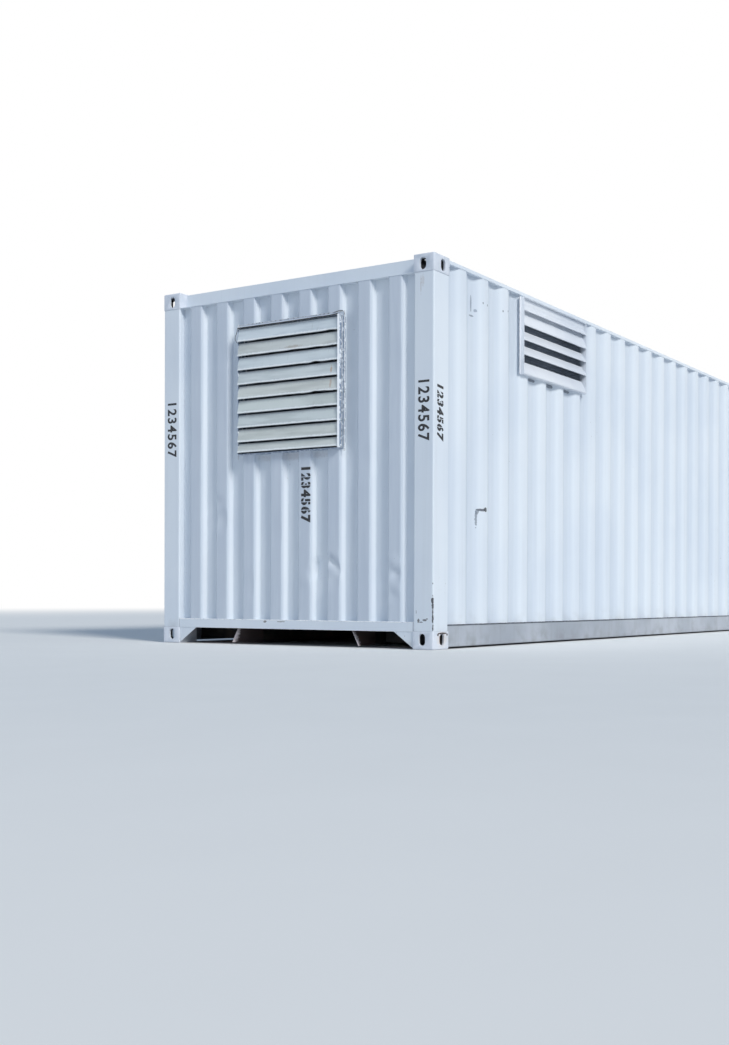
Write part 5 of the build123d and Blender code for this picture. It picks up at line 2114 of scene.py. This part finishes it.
@dataclass
class Welds:
    """Weld beads where castings, posts, rails and gussets meet, the seal along the front rail, a painted
    highlight along its foot and painted shadow along the long walls' feet.

    Attributes:
        radius_mm: Half width of a weld bead.
        ripple_mm: Length of its ripples.
        setback_mm: How far a post stands behind its castings.
        rear_post_mm: Width of a rear post.
        clear_mm: Distance of a bead's end from the outer corner.
        gusset_mm: Distance of the gusset's seam from the front.
        gusset_foot_mm: Height of that seam's foot.
        post_seam_mm: Distance of the seam along a post's foot from the front, and its length.
    """

    radius_mm: float = 2.3
    ripple_mm: float = 7.0
    setback_mm: float = 3.0
    rear_post_mm: float = 62.5
    clear_mm: float = 8.0
    gusset_mm: float = 10.0
    gusset_foot_mm: float = 20.0
    post_seam_mm: tuple[float, float] = (6.0, 60.0)

    def build(self) -> None:
        """Lay the beads of all corners, the seal, and the painted highlight and shadows along the feet."""
        low, high = BOX_OF_CASTINGS
        casting = CornerCasting()
        width, length, height = casting.width_mm * MM, casting.length_mm * MM, casting.height_mm * MM
        setback, clear = self.setback_mm * MM, self.clear_mm * MM
        runs = []
        for side in Side:
            outer = high.y if side is Side.LEFT else low.y
            inner = outer - side.value * width
            face = outer - side.value * setback
            for end in End:
                tip = low.x if end is End.FRONT else high.x
                post = width if end is End.FRONT else self.rear_post_mm * MM
                nose = tip - end.value * setback
                for level in (low.z + height, high.z - height):
                    runs.append(((nose, outer - side.value * clear, level),
                                 (nose, outer - side.value * post, level)))
                    runs.append(((tip - end.value * clear, face, level),
                                 (tip - end.value * length, face, level)))
            gusset, post_foot = low.x + self.gusset_mm * MM, low.x + self.post_seam_mm[0] * MM
            runs.append(((gusset, inner, low.z + self.gusset_foot_mm * MM), (gusset, inner, height)))
            runs.append(((post_foot, inner, height),
                         (post_foot, inner, height + self.post_seam_mm[1] * MM)))
        first, *others = [Bead(f"bead_{number}", *map(Vector, ends), self.radius_mm, self.ripple_mm).shape()
                          for number, ends in enumerate(runs)]
        first.join(others, "front_weld_beads")
        first.dress(SEAM_ENAMEL, Slot.ENAMEL, smooth_deg=80.0)
        self.seal_feet()

    def seal_feet(self) -> None:
        """Run the white seal along the front rail's head, a white bead as painted highlight along its foot,
        and a dark bead as painted shadow along each long wall's foot.
        """
        low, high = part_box("front_bottom_rail")
        for name, depth, level, radius, ripple, wander in (
            ("front_rail_seal", 2.5, high.z, 3.4, 52.0, 1.2),
            # A white bead along the rail's foot: painted highlight.
            ("front_rail_foot_seam", 4.2, low.z, 2.0, 64.0, 0.8),
        ):
            ends = [Vector((low.x + depth * MM, y, level)) for y in (low.y, high.y)]
            Bead(name, *ends, radius, ripple, wander).lay(RAIL_SEAL_AND_HIGHLIGHT, Slot.ENAMEL)
        # Dark beads along each long wall's foot: painted shadow.
        for side in Side:
            low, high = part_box(f"{side.name.lower()}_wall")
            y = (low.y if side is Side.RIGHT else high.y) - side.value * 1 * MM
            ends = [Vector((x, y, low.z + 2 * MM)) for x in (low.x, high.x)]
            Bead(f"foot_seam_{side.name.lower()}", *ends, 2.8, 55.0, 1.0).lay(FOOT_SHADOW, Slot.ENAMEL)


@dataclass
class Studio:
    """Camera, lamps, world and floor.

    Attributes:
        camera_mm: Place of the camera.
        turn_deg: Its pitch, roll and yaw.
        lens_mm: Focal length for a film 36 mm high.
        film_mm: Height of the film.
        shift: Sideways and upward shift of the lens, for the photo's framing.
        key_turn_deg: Turn of the key lamp.
        fill_turn_deg: Turn of the fill lamp.
        floor_m: Half size of the floor.
        fade_m: Distances from the container between which the floor fades to white.
    """

    camera_mm: tuple[float, float, float] = (-12616.9, -5699.0, 349.6)
    turn_deg: tuple[float, float, float] = (89.637, -0.214, -61.081)
    lens_mm: float = 41.71
    film_mm: float = 36.0
    shift: tuple[float, float] = (-0.1788, 0.0785)
    key_turn_deg: tuple[float, float, float] = (56.0, 0.0, -22.0)
    fill_turn_deg: tuple[float, float, float] = (64.0, 0.0, -84.0)
    floor_m: float = 90.0
    fade_m: tuple[float, float] = (9.0, 26.0)

    def build(self) -> None:
        """Set up the whole studio."""
        self.set_camera()
        self.hang_lamps()
        self.light_world()
        self.lay_floor()
        bpy.context.scene.view_settings.view_transform = "Standard"

    def set_camera(self) -> None:
        """Place the camera where the photo was taken from."""
        data = bpy.data.cameras.new("camera")
        data.sensor_fit = "VERTICAL"
        data.sensor_height = self.film_mm
        data.lens = self.lens_mm
        data.shift_x, data.shift_y = self.shift
        data.clip_end = 500
        bpy.context.scene.camera = self.stand("camera", data, self.turn_deg)
        bpy.context.scene.camera.location = Vector(self.camera_mm) * MM

    def stand(self, name: str, data: Any, turn_deg: Sequence[float]) -> bpy.types.Object:
        """Put a camera or a lamp into the scene.

        Args:
            name: Name of the object.
            data: The camera or the lamp.
            turn_deg: How it is turned.

        Returns:
            The object.
        """
        obj = bpy.data.objects.new(name, data)
        obj.rotation_euler = Euler([math.radians(angle) for angle in turn_deg])
        bpy.context.scene.collection.objects.link(obj)
        return obj

    def hang_lamps(self) -> None:
        """Hang a broad key on the right side and a weak fill before the front end."""
        for name, turn, strength, spread, colour in (
            ("key", self.key_turn_deg, 2.2, 16.0, "#FFFDF8"),
            ("fill", self.fill_turn_deg, 0.2, 60.0, "#D2E4FC"),
        ):
            lamp = bpy.data.lights.new(name, "SUN")
            lamp.energy = strength
            lamp.angle = math.radians(spread)
            lamp.color = linear(colour)[:3]
            self.stand(name, lamp, turn)

    def light_world(self) -> None:
        """Soft cool light from all round, and plain white where the camera or a reflection looks past all."""
        world = bpy.data.worlds.new("studio")
        bpy.context.scene.world = world
        tree = NodeTree(world)
        ray = tree.add("LightPath").outputs
        seen = tree.add("Math", {0: ray["Is Camera Ray"], 1: ray["Is Glossy Ray"]}, operation="MAXIMUM")
        seen = tree.add("Math", {0: seen, 1: ray["Is Transmission Ray"]}, operation="MAXIMUM")
        light = tree.add("Background", {"Color": linear("#BAD3F2"), "Strength": 0.44})
        backdrop = tree.add("Background", {"Color": linear("#FFFFFF")})
        mixed = tree.add("MixShader", {0: seen, 1: light, 2: backdrop})
        tree.add("OutputWorld", {"Surface": mixed})

    def lay_floor(self) -> None:
        """Pale floor that takes the shadow and fades to white far from the container."""
        floor = Workpiece("studio_floor", bpy.ops.mesh.primitive_plane_add, size=2 * self.floor_m)
        floor.obj.location.z = -0.001
        paint = bpy.data.materials.new("matt floor paint")
        tree = NodeTree(paint)
        speckle = {0: Cloud(400, 4).draw(tree), 6: linear("#F2F2F0"), 7: linear("#EEEEEC")}
        matt = tree.add("BsdfDiffuse", {"Color": tree.add("Mix", speckle, data_type="RGBA").outputs[2]})
        glow = tree.add("Emission", {"Color": linear("#FFFFFF"), "Strength": 1.0})
        distance = tree.add("VectorMath", {0: tree.place}, operation="LENGTH").outputs["Value"]
        levels = {"Value": distance, "From Min": self.fade_m[0], "From Max": self.fade_m[1]}
        fade = tree.add("MapRange", levels, interpolation_type="SMOOTHSTEP")
        camera_ray = tree.add("LightPath").outputs["Is Camera Ray"]
        factor = tree.add("Math", {0: fade, 1: camera_ray}, operation="MULTIPLY")
        tree.add("OutputMaterial", {"Surface": tree.add("MixShader", {0: factor, 1: matt, 2: glow})})
        floor.obj.data.materials.append(paint)


def box_of_castings() -> tuple[Vector, Vector]:
    """Box over the castings, from which the louvres stand out.

    Returns:
        The lowest and highest corners.
    """
    boxes = [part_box(f"{level}_castings_{end.name.lower()}") for level in ("bottom", "top") for end in End]
    low = Vector([min(box[0][axis] for box in boxes) for axis in range(3)])
    high = Vector([max(box[1][axis] for box in boxes) for axis in range(3)])
    return low, high


BOX_OF_CASTINGS = box_of_castings()

RUST_DARK = "#3B2C28"
RUST_BROWN = "#7B5236"
CHIP_DARK = "#34353C"

FRONT_ENAMEL = Enamel(
    "sprayed enamel, front wall", dust_and_shade_top_mm=205.0,
    # Painted shade darkens the crests.
    shade_bands=(ShadeBand("X", -6062.0, -6084.0, "#ABB7C8", 0.55),),
    # Dirt and painted shadow under the louvre's foot.
    blemishes=(Blemish((-6045, 0, 1330), (60, 470, 40), "#A7A3A8", 0.4, 0.4, 0.7),),
)
RIGHT_ENAMEL = Enamel(
    # Painted shade darkens the recesses.
    "sprayed enamel, right wall", dust_and_shade_top_mm=300.0, shade_bands=(ShadeBand("Y", -1204.0, -1180.0, "#A9B7C9", 0.3),),
    blemishes=(
        Blemish((-5490, -1200, 951), (60, 40, 10), "#4E5560", 0.6, 0.9),
        Blemish((-5536, -1200, 888), (10, 40, 66), "#727A87", 0.7, 0.75),
        Blemish((-5530, -1200, 936), (16, 40, 22), "#6A727F", 0.7, 0.7),
        Blemish((-5446, -1200, 956), (24, 40, 17), "#33383F", 0.5, 0.95),
        # Grey marks that draw the outline and shadow of a small vent cover near the top: painted shadow.
        Blemish((-5588, -1174, 2365), (9, 20, 64), "#7E899A", 0.3, 0.85),
        Blemish((-5540, -1174, 2325), (22, 20, 15), "#929DAE", 0.5, 0.85),
        Blemish((-5586, -1174, 2282), (30, 20, 7), "#77818F", 0.4, 0.85),
        # Painted shadow in the recesses under the louvre's foot.
        Blemish((-4470, -1174, 1966), (560, 9, 15), "#5C6674", 0.4, 0.8, 0.3),
        *(Blemish((x, -1200, z), (8, 40, 9), "#80848E", 0.3, 0.85)
          for x, z in ((-5484, 2386), (-5427, 2382), (-5215, 2386), (-5147, 2400))),
    ),
)
# Painted shade darkens the recesses.
LEFT_ENAMEL = Enamel("sprayed enamel, left wall", shade_bands=(ShadeBand("Y", 1204.0, 1180.0, "#A9B7C9", 0.3),))
ROOF_ENAMEL = Enamel("sprayed enamel, roof", runs=0.3, grime_and_shade="#7F7C74", worn="#BFC6D0", dust_and_shade_top_mm=0.5)
POST_ENAMEL = Enamel("sprayed enamel, posts", ripple_mm=0.4, dust_and_shade_top_mm=240.0)
RIGHT_POST_ENAMEL = Enamel("sprayed enamel, front right post", ripple_mm=0.4, dust_and_shade_top_mm=240.0, blemishes=(
    *(Blemish((-6093, y, z), reach, CHIP_DARK, ragged, cover, 0.2) for y, z, reach, ragged, cover in (
        (-1215, 150, (7, 7, 42), 0.6, 0.95), (-1214, 200, (8, 8, 34), 0.7, 0.95),
        (-1214, 248, (7, 7, 36), 0.6, 0.95), (-1213, 290, (8, 9, 28), 0.7, 0.95),
        (-1212, 325, (9, 12, 22), 0.6, 0.95), (-1215, 352, (5, 6, 14), 0.7, 0.9),
        (-1216, 382, (3, 4, 6), 0.4, 0.7), (-1216, 408, (3, 4, 8), 0.4, 0.7),
        (-1214, 433, (5, 6, 7), 0.4, 0.85),
    )),
    Blemish((-6093, -1100, 188), (12, 9, 16), "#4F4D50", 0.8, 0.85, 0.15),
    Blemish((-6093, -1118, 180), (12, 15, 4), "#5E5D61", 0.7, 0.85, 0.15),
    Blemish((-6093, -1150, 193), (12, 20, 7), "#4F4D50", 0.8, 0.85, 0.15),
    Blemish((-6093, -1168, 202), (12, 7, 7), "#4F4D50", 0.7, 0.8, 0.2),
    Blemish((-6093, -1082, 246), (12, 3, 12), "#6A6A70", 0.6, 0.7, 0.2),
    Blemish((-6093, -1112, 2390), (12, 5, 80), "#A08B7C", 0.5, 0.4, 0.6),
    Blemish((-6093, -1128, 2415), (12, 14, 50), "#B5A79C", 0.6, 0.28, 0.6),
))
RAIL_ENAMEL = Enamel("sprayed enamel, rails", ripple_mm=0.3, runs=0.04, dust_and_shade_top_mm=90.0, blemishes=(
    Blemish((-6090, 224, 166), (14, 16, 9), "#6A645F", 0.8, 0.8, 0.2),
    Blemish((-6090, 80, 168), (14, 44, 5), "#8B8781", 0.7, 0.7, 0.3),
))
# The sills' darker coat is dirt and painted shade.
SILL_ENAMEL = Enamel("sprayed enamel, side sills", colour="#B5BBC4", worn="#9AA1AB", runs=0.2, ripple_mm=0.5,
                     grime_and_shade="#7B7D80", dust_and_shade_top_mm=230.0)
SEAM_ENAMEL = Enamel("brushed enamel, weld seams", colour="#CDD3DC", worn="#AEB5BF", ripple_mm=0.2)
BLADE_ENAMEL = Enamel("sprayed enamel, side louvre", ripple_mm=0.4, colour="#E2E6EC", worn="#D3D9E2")
DOOR_ENAMEL = Enamel("sprayed enamel, doors", ripple_mm=0.8)
# The bird mesh's darker grey is painted shade for the louvre's gaps.
MESH_SHADE_ENAMEL = Enamel("oversprayed bird mesh", colour="#9AA5B4", worn="#7F8A99", ripple_mm=0.1)
TRIM_COAT = Enamel("coil-coated edge strip", colour="#EDF1F5", worn="#E2E7ED", ripple_mm=0.2, runs=0.04)
CASTING_FINISHES = {
    ("bottom", True): CastEnamel("enamelled casting, bottom right", blemishes=(
        Blemish((-5990, -1219, 70), (90, 14, 74), "#DDD2C8", 0.4, 0.6, 0.8),
        Blemish((-5988, -1219, 106), (58, 14, 7), RUST_DARK, 0.5, 0.95, 0.2),
        Blemish((-6040, -1219, 97), (12, 14, 9), RUST_DARK, 0.6, 0.9, 0.2),
        Blemish((-5934, -1219, 98), (11, 14, 8), RUST_DARK, 0.6, 0.9, 0.2),
        Blemish((-6018, -1219, 70), (7, 22, 34), RUST_BROWN, 0.6, 0.8, 0.3),
    )),
    ("bottom", False): CastEnamel("enamelled casting, bottom"),
    ("top", True): CastEnamel("enamelled casting, top right", blemishes=(
        Blemish((-6096, -1130, 2500), (12, 20, 16), "#7C7570", 0.6, 0.6, 0.4),
    )),
    ("top", False): CastEnamel("enamelled casting, top"),
}
BLADE_FINISHES = [
    CoatedSheet("coated louvre sheet, cool", "#D6DFE4", "#C8D2D8"),
    CoatedSheet("coated louvre sheet, dusty", "#CDD2D0", "#BDC1BE", blemishes=(
        Blemish((-6110, -60, 2080), (40, 110, 14), "#8F7B66", 0.6, 0.4, 0.5),)),
    CoatedSheet("coated louvre sheet, pale", "#D4DDE0", "#C6CFD3"),
    CoatedSheet("coated louvre sheet, stained", "#D3DADB", "#C3CBCC", blemishes=(
        Blemish((-6110, -392, 1893), (60, 11, 34), "#B98F68", 0.5, 0.6, 0.6),)),
    CoatedSheet("coated louvre sheet, buff", "#D2D6D2", "#C3C7C3", blemishes=(
        Blemish((-6110, -385, 1800), (60, 13, 46), "#B08E70", 0.5, 0.45, 0.6),)),
    CoatedSheet("coated louvre sheet, cream", "#D3DAD7", "#C4CBC8"),
    CoatedSheet("coated louvre sheet, grey", "#D0D8D8", "#C1C9C9"),
    CoatedSheet("coated louvre sheet, dull", "#D0D5D1", "#C0C5C1"),
    CoatedSheet("coated louvre sheet, lowest", "#CFD4D1", "#BFC4C1", lowest_lip_mm=1370.0),
]
FLANGE_CAULK = CaulkedFlange("caulked louvre flange")
GEAR_ZINC = Zinc("galvanised locking gear")
BITUMEN = Undercoat("bituminous undercoat")
CHEEK_PAINT = Undercoat("primed tunnel cheeks", "#4A3F3D", "#6A5A52", 0.35, blemishes=(
    Blemish((-6050, 0, 40), (70, 800, 120), "#E8DDDF", 0.2, 0.95, 0.3),
))
# Painted shade in the castings' hollows, with mud and rust over it.
HOLLOW_SHADE = Undercoat("bare cast steel in the hollow", "#3C3E44", "#54463D", 0.4)
DECK_WOOD = Plywood("oiled hardwood plywood")
SEAL = Rubber("extruded door rubber")
INK = StencilInk("stencilled marking paint")
CAULK = Sealant("smeared sealant")
# White sealant along the rail's head, and a painted highlight along its foot.
RAIL_SEAL_AND_HIGHLIGHT = Sealant("white sealant along the front rail", "#F4F6F8", "#D5DBE3")
# Dusty sealant, dark as painted shadow.
DUSTY_SEAL_AND_SHADOW = Sealant("dusty sealant", "#8C939D", "#5E656E")
# Painted shadow along the sills.
FOOT_SHADOW = Sealant("dirt along the sills", "#5B6068", "#3A3E45")

NODE_FINISHES = {
    RIGHT_POST_ENAMEL: ("front_post_right",),
    POST_ENAMEL: ("front_post_left", "rear_post_right", "rear_post_left"),
    RAIL_ENAMEL: ("front_top_rail", "front_bottom_rail", "front_gussets", "top_rail_right", "top_rail_left"),
    SILL_ENAMEL: ("bottom_rail_right", "bottom_rail_left"),
    ROOF_ENAMEL: ("roof_corner_plates",),
    CHEEK_PAINT: ("tunnel_cheeks",),
    BITUMEN: ("tunnel_plate", "tunnel_beams", "tunnel_bolster", "outriggers", "cross_members"),
    DOOR_ENAMEL: ("rear_header", "rear_sill", "door_frame_right", "door_frame_left", "door_panel_right",
                  "door_panel_left", "hinge_lugs"),
    SEAL: ("door_gasket_right", "door_gasket_left"),
    GEAR_ZINC: ("lock_rods", "rod_brackets", "cam_keepers", "lock_handles", "door_hinges"),
    FLANGE_CAULK: ("end_louvre_frame",),
}


def dress_nodes() -> None:
    """Give every CAD node that still shows its finish."""
    for finish, names in NODE_FINISHES.items():
        for name in names:
            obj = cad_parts[name]
            if not obj.material_slots:
                obj.data.materials.append(finish.material())
            for slot in obj.material_slots:
                slot.material = finish.material()


def spray_numbers() -> None:
    """Spray the number on both front posts, a crest and the right post's side."""
    low = BOX_OF_CASTINGS[0]
    post, crest = low.x + 3 * MM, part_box("front_wall")[0].x
    forward, right = Vector((-1, 0, 0)), Vector((0, -1, 0))
    crest_place = Vector((crest, -142.5 * MM, 1050 * MM))
    side_place = Vector((low.x + 79 * MM, low.y + 3 * MM, 1553 * MM))
    Marking("number_left_post", Vector((post, 1132.5 * MM, 1577 * MM)), forward, 402, 92, 0.025).spray()
    Marking("number_crest", crest_place, forward, 386, 88, 0.05, tie=0.055).spray()
    Marking("number_right_post", Vector((post, -1137.5 * MM, 1565 * MM)), forward, 398, 92, 0.025).spray()
    Marking("number_right_post_side", side_place, right, 372, 76, 0.05, 0.14, tie=0.04).spray()


def main() -> None:
    """Build every sub-assembly in order and note the sizes."""
    logging.basicConfig(level=logging.INFO, format="%(name)s: %(message)s")
    Studio().build()
    dress_nodes()
    FrontWall().build()
    for side in Side:
        SideWall(side).build()
    for assembly in (Roof, Deck, CornerCasting, EndLouvre, SideLouvre, Welds, Fasteners):
        assembly().build()
    spray_numbers()


if __name__ == "__main__":
    main()
